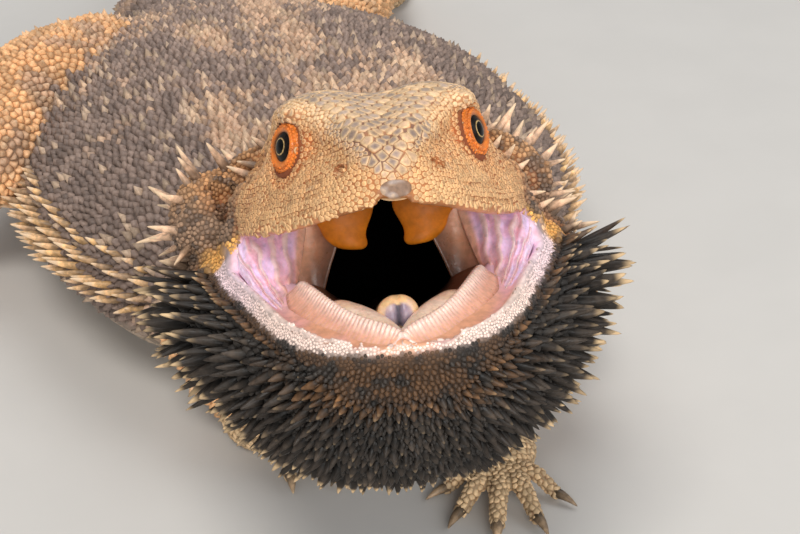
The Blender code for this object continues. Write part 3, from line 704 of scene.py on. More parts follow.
def build_skin_mesh(forms):
    """The union of all forms as one even mesh, with the throat, sockets, nostrils and ears cut in."""
    verts, *_ = forms.joined()
    mesh = bpy.data.meshes.new("forms")
    mesh.from_pydata(verts * MM, [], forms.faces)
    mesh.validate()
    obj = bpy.data.objects.new("forms", mesh)
    scene = bpy.context.scene.collection
    scene.objects.link(obj)
    remesh = obj.modifiers.new("Remesh", "REMESH")
    remesh.mode = "VOXEL"
    remesh.voxel_size = VOXEL * MM
    obj.data = evaluated(obj)
    obj.modifiers.clear()
    cutters = bpy.data.collections.new("cutters")
    scene.children.link(cutters)
    cutter_ball(GULLET["centre"], GULLET["radii"], head_place, cutters)
    for side in (1, -1):
        mirror = np.array((side, 1, 1))
        cutter_ball(np.array(EYE_CENTRE) * mirror, [EYE_RADIUS + 0.5] * 3, head_place, cutters)
        cutter_ball((side * 8.0, -51.0, 5.0), (0.9, 1.0, 0.75), head_place, cutters)
        cutter_ball((side * 27.4, -1.6, 7.6), (2.0, 3.2, 3.6), head_place, cutters)
    cut = obj.modifiers.new("Cut", "BOOLEAN")
    cut.operation, cut.operand_type, cut.solver = "DIFFERENCE", "COLLECTION", "MANIFOLD"
    cut.collection = cutters
    before = len(obj.data.polygons)
    skin = in_fixed_order(evaluated(obj))
    print("skin faces", before, "after the cuts", len(skin.polygons))
    for cutter in list(cutters.objects):
        bpy.data.objects.remove(cutter)
    bpy.data.collections.remove(cutters)
    bpy.data.objects.remove(obj)
    return skin


def set_points(mesh, points):
    mesh.vertices.foreach_set("co", (points * MM).astype(np.float32).ravel())
    mesh.update()


def shaped_skin(mesh):
    """Smooths the joints of the forms."""
    edges = mesh_edges(mesh)
    points = mesh_points(mesh)
    smoothed = points
    for _ in range(5):
        smoothed = averaged(smoothed, edges, 1, 0.55)
        smoothed = averaged(smoothed, edges, 1, -0.50)
    far = ease(-95, -75, points[:, 1])
    wider = averaged(smoothed, edges, 14, 0.5)
    points = blend(smoothed, wider, far)
    points[:, 2] = np.maximum(points[:, 2], 0.0)
    set_points(mesh, points)
    return points, edges


LIP_Z = -1.2


def lip_measures(j):
    """How far points of the jaw's frame are from the edge of the lower lip, and how far inward of it."""
    y = np.linspace(JAW["y"][0], -6, 150)
    x = np.interp(y, JAW["y"], JAW["lip_x"])
    edge = np.concatenate([np.c_[np.linspace(0, x[0], 20)[:-1], np.full(19, y[0])], np.c_[x, y]])
    edge = np.c_[edge, np.full(len(edge), LIP_Z)]
    way = unit(np.gradient(edge, axis=0))
    tree = tree_of(edge)
    places = np.c_[np.abs(j[:, 0]), j[:, 1:]]
    found = [tree.find(place) for place in places]
    nearest = np.array([k for _, k, _ in found])
    away = places - edge[nearest]
    inward = away[:, 1] * way[nearest, 0] - away[:, 0] * way[nearest, 1]
    return np.array([distance for _, _, distance in found]), inward


def gullet_measure(h):
    """Squared distance of points of the head's frame from the throat's middle, 1 at its wall."""
    return (((h - np.array(GULLET["centre"])) / np.array(GULLET["radii"])) ** 2).sum(1)


class Surface:
    """What is known at each point of the skin: its form, its place on the form and the coat's lie."""

    def __init__(self, forms, mesh, points, edges):
        source, name, along, around, lie = forms.joined()
        tree = tree_of(source)
        nearest = np.array([tree.find(p)[1] for p in points])
        self.names = forms.names
        self.points, self.normals = points, unit(averaged(mesh_normals(mesh), edges, 2))
        self.form = name[nearest]
        self.along, self.around = along[nearest], around[nearest]
        self.lie = averaged(lie[nearest], edges, 6)
        self.head, self.jaw = head_place.into(points), jaw_place.into(points)
        self.lip, self.inward = lip_measures(self.jaw)
        self.inside = self.mouth()

    def of(self, *names):
        return np.isin(self.form, [self.names.index(n) for n in names if n in self.names])

    def starts(self, *starts):
        return self.of(*[n for n in self.names if n.startswith(starts)])

    def mouth(self):
        """Which points lie inside the lips and the corners of the mouth."""
        h, j = self.head, self.jaw
        side = np.abs(h[:, 0])
        throat = gullet_measure(h) < 1.16
        head = self.of("head") & (self.around > np.where(h[:, 1] < -50, 6.1, 5.97))
        jaw = self.of("jaw") & (self.around < 7.3) & (self.inward > -0.2)
        lip = np.interp(j[:, 1], JAW["y"], JAW["lip_x"])
        depth = np.interp(j[:, 1], JAW["y"], JAW["depth"])
        between = (h[:, 2] < self.corner_line(side)) & (h[:, 1] < 12)
        between &= (j[:, 2] > np.where(side < lip - 2.0, -0.8 * depth, -2.0)) & (side < lip + 0.6)
        rest = self.of("cheek", "column", "neck", "beard") & between
        found = throat | head | jaw | rest
        high = (side > 24.0) & (h[:, 2] > self.corner_line(side) + 0.8)
        return found & ~high & ~((side > CORNER) & (j[:, 1] > -17))

    @staticmethod
    def corner_line(side):
        """Height of the skin's edge from the end of the upper lip to the corner of the mouth."""
        return np.interp(side, (0, 23.5, 24.5, CORNER), (9.0, 9.0, -1.8, -4.4))


def mouth_tint(at):
    """Colours inside the mouth: peach gums, pink and lilac sides, an orange roof, and painted shadow that is
    black in the throat and darkens the mouth's deeper parts.
    """
    h, j = at.head, at.jaw
    back = ease(-40, -20, j[:, 1])
    streaks = noise(np.c_[h[:, 0] * 0.9, h[:, 1] * 0.3, h[:, 2] * 0.25], 2.2, 3)
    band = at.of("jaw") * ease(5.2, 6.2, at.around)
    groove = at.of("jaw") * ease(0.55, 0.1, np.abs(at.around - 5.0))
    roof = at.of("head") * ease(-10, 2, h[:, 2])
    ball = gullet_measure(h)
    middle = np.maximum(ease(12.5, 9.5, np.abs(h[:, 0])), ease(-14, -6, h[:, 1]))
    # Where the painted shadow of the throat lies: its deep part and the middle of the floor behind the gums
    deep = ease(1.22, 1.04, ball) * ease(-33, -24, h[:, 1]) * middle
    gum = np.interp(j[:, 1], GUM["y"], GUM["x"])
    floor = (j[:, 2] < 3) * ~at.of("head") * ease(GUM["y"][0] + 3.0, GUM["y"][0] + 6.0, j[:, 1])
    deep = np.maximum(deep, ease(0.62 * gum, 0.5 * gum, np.abs(j[:, 0])) * floor)
    return layered(
        "peach",
        ("lilac", back * (0.45 + 0.75 * streaks).clip(0, 1)),
        ("pink", ease(0.52, 0.78, noise(h, 3.1, 5)) * (0.35 + 0.5 * back)),
        (layered("lip_white", ("lip_lilac", back)), band),
        (colour("pink") * 0.9, 0.55 * groove),
        ("lobe", roof * ease(-12, -22, h[:, 1]) * 0.9),
        # Painted shadow: a dark orange band on the roof just behind the upper lip, under the snout
        (colour("lobe") * 0.4, at.of("head") * ease(-47, -52, h[:, 1]) * 0.9),
        # Painted shade: darker near the wall of the throat's opening
        (colour("curtain") * 0.6, ease(1.9, 1.2, ball) * 0.8),
        # Painted shade: dark on the floor just inside the gums
        (colour("curtain") * 0.3, ease(gum - 0.6, gum - 2.0, np.abs(j[:, 0])) * floor * 0.95),
        # Painted shadow: black deep in the throat and along the middle of the floor
        ("throat", deep))


def jowl_share(at):
    """How far each point belongs to the loose skin behind the face, above the dark pouch."""
    h = at.head
    front = ease(-19, -8, h[:, 1] + 0.8 * ease(3.0, 9.0, h[:, 2]) * 4)
    high = ease(-7.5, -4.5, h[:, 2] + 0.12 * (np.abs(h[:, 0]) - 30))
    around = at.of("head") * ease(1.9, 3.0, at.around)
    around = around + at.of("cheek", "neck", "jowl", "beard", "jaw", "column")
    return front * high * ease(18, 22, np.abs(h[:, 0])) * ease(24, 15, h[:, 1]) * around


def corner_share(at):
    """The yellow rim round each corner of the mouth."""
    h = at.head
    side = np.abs(h[:, 0])
    above = h[:, 2] - at.corner_line(side)
    rim = ease(1.9, 0.8, np.abs(above - 0.4) + 1.2 * (noise(h, 1.4, 17) - 0.5)) * ease(24.5, 26.0, side)
    point = ease(3.8, 2.0, np.linalg.norm((side - 27.9, (h[:, 1] + 7.5) * 0.4, h[:, 2] + 5.0), axis=0)
                 + 1.2 * (noise(h, 1.6, 18) - 0.5))
    return np.maximum(rim * ease(2, -3, h[:, 1]), point)


def body_tint(at, speckle):
    """Mauve flanks with pale flecks, and streaks of tan lengthwise on the back."""
    p = at.points
    long = np.c_[p[:, 0] * 1.1, p[:, 1] * 0.45, p[:, 2]]
    blotch = noise(long, 12, 1) * 0.6 + noise(long, 5.5, 2) * 0.4 + 0.16 * speckle
    dorsal = ease(62, 14, np.abs(p[:, 0])) * ease(18, 44, p[:, 2])
    body = blend(colour("mauve_dark"), colour("mauve"), noise(p, 5.0, 4) * 0.6 + 0.4 * noise(p, 2.0, 22))
    body = body * (0.76 + 0.24 * dorsal)[:, None]
    pale = ease(0.66 - 0.27 * dorsal, 0.88 - 0.27 * dorsal, blotch)
    body = blend(body, colour("tan"), pale * 0.9)
    body = blend(body, colour("cream"), pale * ease(0.5, 0.9, noise(p, 4.0, 8)) * 0.55)
    side = ease(0.35, 0.9, at.normals[:, 2] * -1)
    return blend(body, colour("belly"), side * ease(26, 12, p[:, 2]) * 0.85)


def head_tint(at):
    """Cream and grey plates on the crown, an orange face, and a tan jowl with dark spots, with painted shade
    in the face's wrinkles, round the eyes and on the snout.
    """
    h = at.head
    middle = ease(13, 4, np.abs(h[:, 0])) * ease(-12, -24, h[:, 1])
    crown = blend(colour("crown"), colour("crown_grey"),
                  ease(0.50 - 0.20 * middle, 0.64 - 0.20 * middle, noise(h, 2.8, 11)) * 0.85)
    crown = blend(crown, colour("face_orange") * 1.1, ease(0.6, 0.85, noise(h, 4.5, 71)) * (1 - middle) * 0.5)
    face = blend(colour("face"), colour("face_orange"), ease(0.42, 0.75, noise(h, 3.0, 12)) * 0.6)
    face = blend(face, colour("crown_grey") * (1.2, 1.0, 0.8), ease(0.62, 0.80, noise(h, 1.6, 72)) * 0.45)
    near_eye = ease(10.0, 7.0, eye_distance(h)) * ease(15.5, 11.0, h[:, 2])
    face = blend(face, colour("face_orange") * 1.15, 0.85 * near_eye)
    face = blend(face, colour("labial"), ease(5.0, 1.0, h[:, 2]) * 0.7)
    face = blend(face, face * (0.72, 0.60, 0.54), ease(-36, -14, h[:, 1]) * ease(7, 3, h[:, 2]) * 0.9)
    # Painted shade: the face darkens in the valleys of its wrinkles
    face = face * (1 - np.outer(face_folds(at), (0.22, 0.34, 0.42)))
    # Painted shade: dark round the rim of the eye's socket
    face = face * (1 - np.outer(ease(6.85, 6.5, eye_distance(h)), (0.45, 0.50, 0.50)))
    # Painted shade: the crown darkens towards the tip of the snout, where the lamps light it more
    crown = crown * (1 - np.outer(ease(-44, -52, h[:, 1]), (0.27, 0.30, 0.27)))
    return blend(face, crown, ease(2.6, 1.8, at.around))


def coat_tint(at, speckle=0.0):
    """Colours of the dry skin, the same for the skin and for the scales that stand on it."""
    p, h, j = at.points, at.head, at.jaw
    body = body_tint(at, speckle)
    limb = at.starts("thigh", "shin", "foot", "arm", "fore", "hand")
    legs = blend(colour("thigh"), colour("mauve"), ease(0.55, 0.8, noise(p, 9.0, 6) + 0.1 * speckle) * 0.6)
    legs = blend(legs, colour("toe"), at.starts("hand", "foot") * 0.8)
    body = blend(body, legs, limb * 1.0)
    ring = 0.5 + 0.5 * np.sin(at.along * 62 + 2.5 * noise(p, 12, 9))
    banded = blend(colour("tan"), colour("mauve"), ease(0.4, 0.8, ring))
    body = blend(body, banded, at.of("tail") * ease(0.02, 0.12, at.along))
    body = blend(body, head_tint(at), at.of("head") * 1.0)
    neck = at.of("neck", "jowl") * 1.0
    tawny = blend(colour("jowl"), colour("tan"), noise(p, 4, 14))
    body = blend(body, tawny, 0.55 * np.maximum(ease(0.3, 0.95, at.along) * neck, at.of("jowl")))
    dark = blend(colour("charcoal"), colour("slate"), noise(p, 3.5, 15) + 0.2 * speckle)
    chin = ease(24, 9, np.abs(j[:, 0])) * ease(-17, -8, j[:, 2]) * ease(-32, -42, j[:, 1])
    chin = np.maximum(chin, 0.8 * ease(4.2, 2.4, at.lip))
    dark = blend(dark, colour("chin_brown"), chin * ease(0.30, 0.62, noise(p, 2.2, 16) + 0.1 * speckle))
    under = neck * ease(0.1, -0.5, at.normals[:, 2])
    bearded = at.of("beard", "cheek") | (at.of("jaw") & (at.lip > 1.5))
    body = blend(body, dark, np.maximum(bearded * 1.0, under * 0.8))
    spots = blend(colour("jowl"), colour("face_orange") * 1.1, ease(0.5, 0.8, noise(h, 6.0, 19)) * 0.6)
    spots = blend(spots, colour("face") * 0.95, ease(2.0, 11.0, h[:, 2]) * 0.75)
    spots = blend(spots, colour("jowl_dark"), ease(0.60, 0.76, noise(h, 1.7, 13)) * 0.85)
    body = blend(body, spots, jowl_share(at) * 0.92)
    body = blend(body, colour("corner"), corner_share(at) * 0.95)
    rough = 0.9 * (noise(j, 0.8, 97) - 0.5)
    inner = ease(0.0, 0.4, at.inward) * (at.lip < 4) * (j[:, 2] > -5)
    lip = np.maximum(ease(1.6, 0.9, at.lip + rough), inner)
    lip = lip * ease(-11, -14, j[:, 1]) * at.of("jaw", "beard", "cheek")
    return blend(body, blend(colour("lip_white"), colour("lip_lilac"), 0.6 * ease(-40, -20, j[:, 1])), lip)


# Spacing and height of each kind of scale in millimetres, and its other measures as shares of its size
MEASURES = ("step", "height", "bevel", "dome", "tilt", "keel", "spike")
KINDS = {name: dict(zip(MEASURES, values)) for name, values in {
    "none": (),
    "plate": (2.2, 0.17, 0.20, 0.05, 0.07, 0.0, 0.0),
    "brow": (0.88, 0.16, 0.30, 0.16, 0.10, 0.0, 0.0),
    "face": (0.80, 0.13, 0.26, 0.08, 0.10, 0.0, 0.0),
    "labial": (1.0, 0.09, 0.22, 0.05, 0.0, 0.0, 0.0),
    "jowl": (0.84, 0.17, 0.32, 0.12, 0.14, 0.1, 0.12),
    "lip": (0.48, 0.05, 0.40, 0.10, 0.0, 0.0, 0.0),
    "grain": (0.64, 0.07, 0.36, 0.12, 0.0, 0.0, 0.0),
    "back": (1.72, 0.34, 0.30, 0.20, 0.32, 0.30, 0.35),
    "nape": (1.50, 0.36, 0.34, 0.25, 0.30, 0.25, 0.55),
    "limb": (1.80, 0.36, 0.28, 0.18, 0.34, 0.28, 0.25),
    "toe": (1.20, 0.24, 0.32, 0.15, 0.20, 0.0, 0.0),
    "belly": (2.7, 0.26, 0.26, 0.06, 0.14, 0.0, 0.0),
    "tail": (2.3, 0.45, 0.26, 0.2, 0.40, 0.40, 0.3),
    "chin": (0.90, 0.24, 0.38, 0.25, 0.2, 0.1, 0.45),
    "beard": (1.5, 0.34, 0.38, 0.25, 0.2, 0.1, 0.3),
}.items()}
KIND_NAMES = list(KINDS)


def is_kind(kind, *names):
    """Which of the kinds are among the names."""
    return np.isin(kind, [KIND_NAMES.index(n) for n in names])


def measured(kind, measure, usual):
    """A measure of each kind that is given, and the usual one where its kind has none."""
    return np.array([KINDS[n].get(measure, usual) for n in KIND_NAMES])[kind]


def brow_distance(h):
    """How far points of the head's frame are from the ridge that runs from the snout over the eye."""
    x, z = (np.interp(h[:, 1], HEAD["y"], HEAD[key]) for key in ("brow_x", "brow_z"))
    return np.hypot(np.abs(h[:, 0]) - x, h[:, 2] - z)


def lip_distance(h):
    """How far points of the head's frame are from the edge of the upper lip."""
    x, z = (np.interp(h[:, 1], HEAD["y"], HEAD[key]) for key in ("lip_x", "lip_z"))
    beside = np.abs(h[:, 0]) - x
    return np.hypot(np.where(h[:, 1] < -54.5, beside.clip(0), beside), h[:, 2] - z)


def eye_distance(h):
    return np.linalg.norm(np.c_[np.abs(h[:, 0]), h[:, 1:]] - np.array(EYE_CENTRE), axis=1)


def eye_turn(h):
    """The angle from the eye's gaze at which points of the head's frame are seen from the eye's centre."""
    away = unit(np.c_[np.abs(h[:, 0]), h[:, 1:]] - np.array(EYE_CENTRE))
    return np.arccos(np.clip(away @ np.array(GAZE), -1, 1))


def eye_share(h):
    return ease(12.5, 8.5, eye_distance(h))


def face_field(h):
    """A measure that is even along the lines of the face, which follow the lip and go round the eye."""
    lip, ring = lip_distance(h), 21.1 - 6 * eye_turn(h) - eye_distance(h)
    return lip + (ring - lip) * eye_share(h) + 0.9 * noise(h, 5.0, 41)


def face_folds(at):
    """Wrinkles of the face, from 0 between them to 1 in their depth."""
    h = at.head
    side = ease(2.2, 2.7, at.around) * ease(5.4, 4.8, at.around) * ease(-52, -44, h[:, 1]) * at.of("head")
    deep = 0.25 + 0.75 * ease(0.35, 0.7, noise(h, 4.0, 73))
    return 0.5 * deep * (1 + np.cos(2 * np.pi * face_field(h) / 2.6)) * side


def relief(at):
    """How far the skin lies below its even form, in the hollow under the brow and in its folds."""
    h = at.head
    y = h[:, 1]
    head = at.of("head") & (at.around < 5.6)
    hollow = 1.15 * np.exp(-(((at.around - 2.95) / 0.55) ** 2)) * ease(-54, -48, y) * ease(-33, -38, y)
    hollow = hollow * ease(6.6, 8.6, eye_distance(h))
    temple = 0.9 * np.exp(-(((at.around - 3.0) / 0.6) ** 2)) * ease(-24, -20, y) * ease(-4, -10, y)
    folds = 0.5 * face_folds(at)
    wave = 2 * np.pi * (y + 0.5 * h[:, 2] + 3.0 * noise(h, 6.0, 74)) / 4.6
    loose = 0.45 * (1 + np.sin(wave)) * jowl_share(at)
    return np.where(head, hollow + temple + folds, 0.0) + loose


def kinds_on(at):
    """The kind of scale at each point of the skin, as its place in KIND_NAMES."""
    p, h, j = at.points, at.head, at.jaw
    kind = np.full(len(p), KIND_NAMES.index("back"))

    def set_kind(where, name):
        kind[where] = KIND_NAMES.index(name)

    low = (at.normals[:, 2] < -0.45) & (p[:, 2] < 20)
    set_kind(at.of("tail"), "tail")
    set_kind(at.of("trunk", "tail") & low, "belly")
    set_kind(at.starts("arm", "fore", "thigh", "shin"), "limb")
    set_kind(at.starts("hand", "foot"), "toe")
    set_kind(at.of("neck", "jowl"), "nape")
    set_kind(at.of("head") & (at.around < 2.0), "plate")
    set_kind(at.of("head") & (at.around >= 2.0), "face")
    set_kind(at.of("head") & (lip_distance(h) < 1.5) & (np.abs(h[:, 1] + 36) < 14), "labial")
    knob = (np.abs(h[:, 1] + 28) < 7) & (np.abs(h[:, 0]) > 12.4) & (h[:, 2] > 12) & (brow_distance(h) < 3.4)
    set_kind(at.of("head") & ((brow_distance(h) < 1.7) | knob) & (h[:, 1] > -46), "brow")
    set_kind(at.of("beard", "jaw"), "beard")
    set_kind(at.of("beard", "jaw") & (np.abs(j[:, 0]) < 20) & (j[:, 1] < -34), "chin")
    set_kind(at.of("cheek") | (jowl_share(at) > 0.45), "jowl")
    set_kind(corner_share(at) > 0.3, "grain")
    dry = at.of("jaw", "beard", "cheek") & (at.inward < 0.3) & (j[:, 1] < -12)
    set_kind(dry & (at.lip < 3.6), "grain")
    lip = dry & (at.lip < 1.25)
    set_kind(lip, "lip")
    bare = at.of("jaw", "beard", "cheek") & (at.inward >= 0.3) & (at.lip < 3.5) & (h[:, 2] < 0)
    set_kind((at.inside | bare) & ~lip, "none")
    away = eye_distance(h)
    set_kind((away < EYE_RADIUS + 0.95) & ((eye_turn(h) < 1.45) | (away < EYE_RADIUS)), "none")
    return kind


def picked(at, index):
    """The same knowledge for some points only."""
    part = object.__new__(Surface)
    for name, value in at.__dict__.items():
        whole = isinstance(value, np.ndarray) and len(value) == len(at.points)
        setattr(part, name, value[index] if whole else value)
    return part


# Samples drawn for each scale, where rows or a honeycomb call for more than the usual number
SAMPLES = {"face": 34, "brow": 34, "lip": 24, "plate": 30}
USUAL_SAMPLES = 9


def in_rows(found, kind):
    """Which places lie on the rows that the small scales of the face follow."""
    h = found.head
    brow = brow_distance(h)
    field = face_field(h) + 0.2 * noise(h, 1.5, 42)
    share = eye_share(h)
    loose = 0.8 * share * (1 - share)
    kept = np.ones(len(h), bool)
    for name, value in (("face", field), ("brow", brow + 0.5 * KINDS["brow"]["step"])):
        here = is_kind(kind, name)
        row = (value / KINDS[name]["step"]) % 1.0
        kept &= ~here | (np.abs(row - 0.5) < 0.16 + loose) | (h[:, 1] < -52.5)
    return kept


def sampled(mesh, at, kind):
    """Random places all over the skin, denser where the scales are smaller."""
    mesh.calc_loop_triangles()
    tris = np.empty(len(mesh.loop_triangles) * 3, np.int32)
    mesh.loop_triangles.foreach_get("vertices", tris)
    tris = tris.reshape(-1, 3)
    a, b, c = (at.points[tris[:, k]] for k in range(3))
    area = 0.5 * np.linalg.norm(np.cross(b - a, c - a), axis=1)
    step = measured(kind[tris[:, 0]], "step", 0)
    per_scale = np.array([SAMPLES.get(n, USUAL_SAMPLES) for n in KIND_NAMES])[kind[tris[:, 0]]]
    wanted = np.where(step > 0, area / np.maximum(0.8 * step**2, 1e-6) * per_scale, 0)
    whole = np.floor(wanted + random.random(len(wanted))).astype(int)
    tri = np.repeat(np.arange(len(tris)), whole)
    r = np.sqrt(random.random(len(tri)))[:, None]
    s = random.random(len(tri))[:, None]
    corners = tris[tri]
    points = (1 - r) * at.points[corners[:, 0]] + r * (1 - s) * at.points[corners[:, 1]] \
        + r * s * at.points[corners[:, 2]]
    nearest = corners[np.arange(len(tri)), random.integers(0, 3, len(tri))]
    found = picked(at, nearest)
    found.points = points
    found.head, found.jaw = head_place.into(points), jaw_place.into(points)
    close = np.flatnonzero(found.lip < 4)
    found.lip[close], found.inward[close] = lip_measures(found.jaw[close])
    return found, kind[nearest]


def spread(points, steps, first=(), free=None, rounds=2, rows=None):
    """Evenly spaced places chosen among the free ones, each its step from the next, first ones kept.

    Where rows are given, places on them are taken before the others and stay on them.
    """
    tree = tree_of(points)
    rows = np.ones(len(points), bool) if rows is None else rows
    on_rows = np.flatnonzero(rows)
    row_tree = tree_of(points[on_rows])
    free = np.ones(len(points), bool) if free is None else free.copy()
    free[list(first)] = True
    order = list(first) + list(random.permutation(on_rows)) + list(random.permutation(np.flatnonzero(~rows)))
    chosen, kept = [], set(first)
    for i in order:
        if not free[i]:
            continue
        chosen.append(i)
        for _, k, _ in tree.find_range(points[i], steps[i] * (0.5 if i in kept else 0.86)):
            free[k] = False
    fixed = sum(i in kept for i in chosen)
    chosen = np.array(chosen)
    for _ in range(rounds):
        near = tree_of(points[chosen])
        owner = np.array([near.find(p)[1] for p in points])
        count = np.bincount(owner, minlength=len(chosen)).clip(1)
        centre = np.stack([np.bincount(owner, points[:, k], len(chosen)) / count for k in range(3)], -1)
        moved = np.array([on_rows[row_tree.find(c)[1]] if rows[k] else tree.find(c)[1]
                          for c, k in zip(centre, chosen)])
        moved[:fixed] = chosen[:fixed]
        chosen = moved
    return np.unique(chosen)


def clipped(outline, nx, ny, limit):
    made = []
    px, py = outline[-1]
    before = px * nx + py * ny - limit
    for x, y in outline:
        now = x * nx + y * ny - limit
        if (now <= 0) != (before <= 0):
            t = before / (before - now)
            made.append((px + t * (x - px), py + t * (y - py)))
        if now <= 0:
            made.append((x, y))
        px, py, before = x, y, now
    return made


def scale_outlines(points, normals, sides, ahead, steps):
    """The outline of each scale, in its own plane: what is nearer to it than to its neighbours."""
    tree = tree_of(points)
    start = [(math.cos(a), math.sin(a)) for a in np.arange(8) * math.pi / 4 + 0.39]
    outlines = []
    for i in range(len(points)):
        reach = steps[i] * (0.95 if steps[i] > 2.0 else 0.78 if steps[i] > 0.9 else 0.64)
        outline = [(x * reach, y * reach) for x, y in start]
        for _, k, distance in tree.find_n(points[i], 12)[1:]:
            if distance > 2.6 * steps[i] or normals[i] @ normals[k] < 0.1:
                continue
            away = points[k] - points[i]
            dx, dy = away @ sides[i], away @ ahead[i]
            length = math.hypot(dx, dy)
            if length < 1e-4:
                continue
            share = steps[i] / (steps[i] + steps[k])
            outline = clipped(outline, dx / length, dy / length, length * share)
            if len(outline) < 3:
                break
        tidy = []
        for q in outline:
            if not tidy or math.dist(q, tidy[-1]) > 0.12 * steps[i]:
                tidy.append(q)
        if len(tidy) > 3 and math.dist(tidy[0], tidy[-1]) < 0.12 * steps[i]:
            tidy.pop()
        outlines.append(tidy if len(tidy) > 2 else None)
    return outlines


LEVELS = (0.0, 0.25, 0.75, 1.0)  # sunk rim, edge, shoulder and crest of a scale


def scale_ring(s, level, share, middle, arm, radius):
    """Where one ring of each scale lies in the scale's own plane, and how high above the skin."""
    local = middle + arm * share[..., None]
    across, along = arm[..., 0] * share / radius, arm[..., 1] * share / radius
    crest, top = level == 1.0, level > 0.5
    if level == 0.0:
        height = np.where(radius < 0.45, -0.2, -0.45) + 0 * across
    else:
        ridge = np.clip(1 - 1.6 * np.abs(across), 0, 1) * top
        height = s["height"] * (1.0 if top else 0.72) + radius * (
            s["tilt"] * along * (not crest) + s["dome"] * (1.0 if crest else 0.6 * top)
            + s["keel"] * ridge + s["spike"] * (0.9 if crest else 0.2 * top))
    shift = radius * (s["spike"] * (0.75 if crest else 0.18 * top) + 0.4 * s["tilt"] * (along > 0))
    return local[..., 0], local[..., 1] + shift, height


def scale_mesh(name, points, normals, outlines, sides, ahead, shape, tint, places):
    """All scales of one piece: each has a sunk rim, an edge, a shoulder and a crest that may be a spike."""
    sizes = np.array([len(o) if o else 0 for o in outlines])
    tone = random.random(len(points))
    verts, quads, tris, found = [], [], [], {"edge": [], "tone": [], "tint": [], "map": []}
    start = 0
    for k in range(3, 17):
        rows = np.flatnonzero(sizes == k)
        if not len(rows):
            continue
        flat = np.array([outlines[i] for i in rows])
        middle = flat.mean(1, keepdims=True)
        arm = flat - middle
        radius = np.sqrt((arm**2).sum(-1)).mean(1)[:, None]
        s = {key: values[rows][:, None] for key, values in shape.items()}
        shares = (1 - s["gap"], 1 - s["gap"] - 0.4 * s["bevel"], 0.52 + 0 * s["gap"], 0 * s["gap"])
        block = []
        for level, share in zip(LEVELS, shares):
            part = arm if level < 1 else arm[:, :1] * 0
            x, y, height = scale_ring(s, level, share, middle, part, radius)
            block.append(points[rows][:, None] + x[..., None] * sides[rows][:, None]
                         + y[..., None] * ahead[rows][:, None] + height[..., None] * normals[rows][:, None])
        per = 3 * k + 1
        verts.append(np.concatenate(block, axis=1).reshape(-1, 3))
        base = (start + np.arange(len(rows)) * per)[:, None, None]
        i, n = np.arange(k), (np.arange(k) + 1) % k
        for ring in (0, k):
            band = np.stack([ring + i, ring + n, ring + k + n, ring + k + i], -1)
            quads.append((base + band).reshape(-1, 4))
        tris.append((base + np.stack([2 * k + i, 2 * k + n, np.full(k, 3 * k)], -1)).reshape(-1, 3))
        found["edge"].append(np.tile(np.repeat(LEVELS, (k, k, k, 1)), len(rows)))
        found["tone"].append(np.repeat(tone[rows], per))
        found["tint"].append(np.repeat(tint[rows], per, axis=0))
        spot = np.concatenate([arm, arm * 0.8, arm * 0.5, arm[:, :1] * 0], 1) / radius[..., None]
        found["map"].append((places[rows][:, None] + PATCH * 0.45 * spot).reshape(-1, 2))
        start += per * len(rows)
    mesh = make_mesh(name, np.concatenate(verts), [np.concatenate(quads), np.concatenate(tris)])
    for key in ("edge", "tone", "tint"):
        add_values(mesh, key, np.concatenate(found[key]))
    add_map(mesh, np.concatenate(found["map"]))
    return mesh


def frames_on(normals, lies):
    """The directions across and along the lie of the coat, in the plane of the skin."""
    ahead = unit(lies - normals * (lies * normals).sum(1, keepdims=True))
    return np.cross(ahead, normals), ahead


def unwrap(at):
    """A place on an unwrap of the skin's own shape: each form has a strip of the map."""
    strips = len(at.names)
    along = at.along.copy()
    for table, name in ((HEAD, "head"), (JAW, "jaw"), (BEARD, "beard")):
        here = at.of(name)
        along[here] = (along[here] - table["y"][0]) / (table["y"][-1] - table["y"][0])
    around = at.around.copy()
    for name, size in (("head", 10.0), ("jaw", 11.0), ("beard", 8.0)):
        here = at.of(name)
        sign = np.sign(at.head[here, 0])
        around[here] = 0.5 + 0.5 * sign * around[here] / size
    return np.c_[along.clip(0.01, 0.99), (at.form + 0.03 + 0.94 * around.clip(0, 1)) / strips]


# Coat
def coat_shape(kind, points):
    """The measures of each scale, from its kind, varied a little."""
    shape = {key: measured(kind, key, 0.0) for key in MEASURES[1:]}
    shape["gap"] = np.full(len(points), SCALE_GAP)
    for key in ("height", "tilt", "keel", "spike"):
        shape[key] = shape[key] * random.uniform(0.75, 1.25, len(points))
    spiny = is_kind(kind, "back", "nape", "limb", "tail")
    tall = spiny & (random.random(len(points)) < 0.08)
    shape["spike"] = shape["spike"] + tall * random.uniform(0.4, 1.0, len(points))
    return shape, tall


# Gap between scales as a share of their size, and how far from the middle the chin's piece ends
SCALE_GAP = 0.04
CHIN_SIDE = 16.0

# The crown's honeycomb, how far its plates reach, and the step of the small scales that fill its rim
PLATE_REACH = 1.5
FILLER_STEP = 0.95
CROWN_Y = (-56, -50, -42, -30, -16, 6)
PLATE_WIDTH = (1.75, 2.1, 2.3, 2.3, 1.9, 1.6)
PLATE_LENGTH = (1.55, 2.0, 2.5, 2.8, 2.3, 1.6)


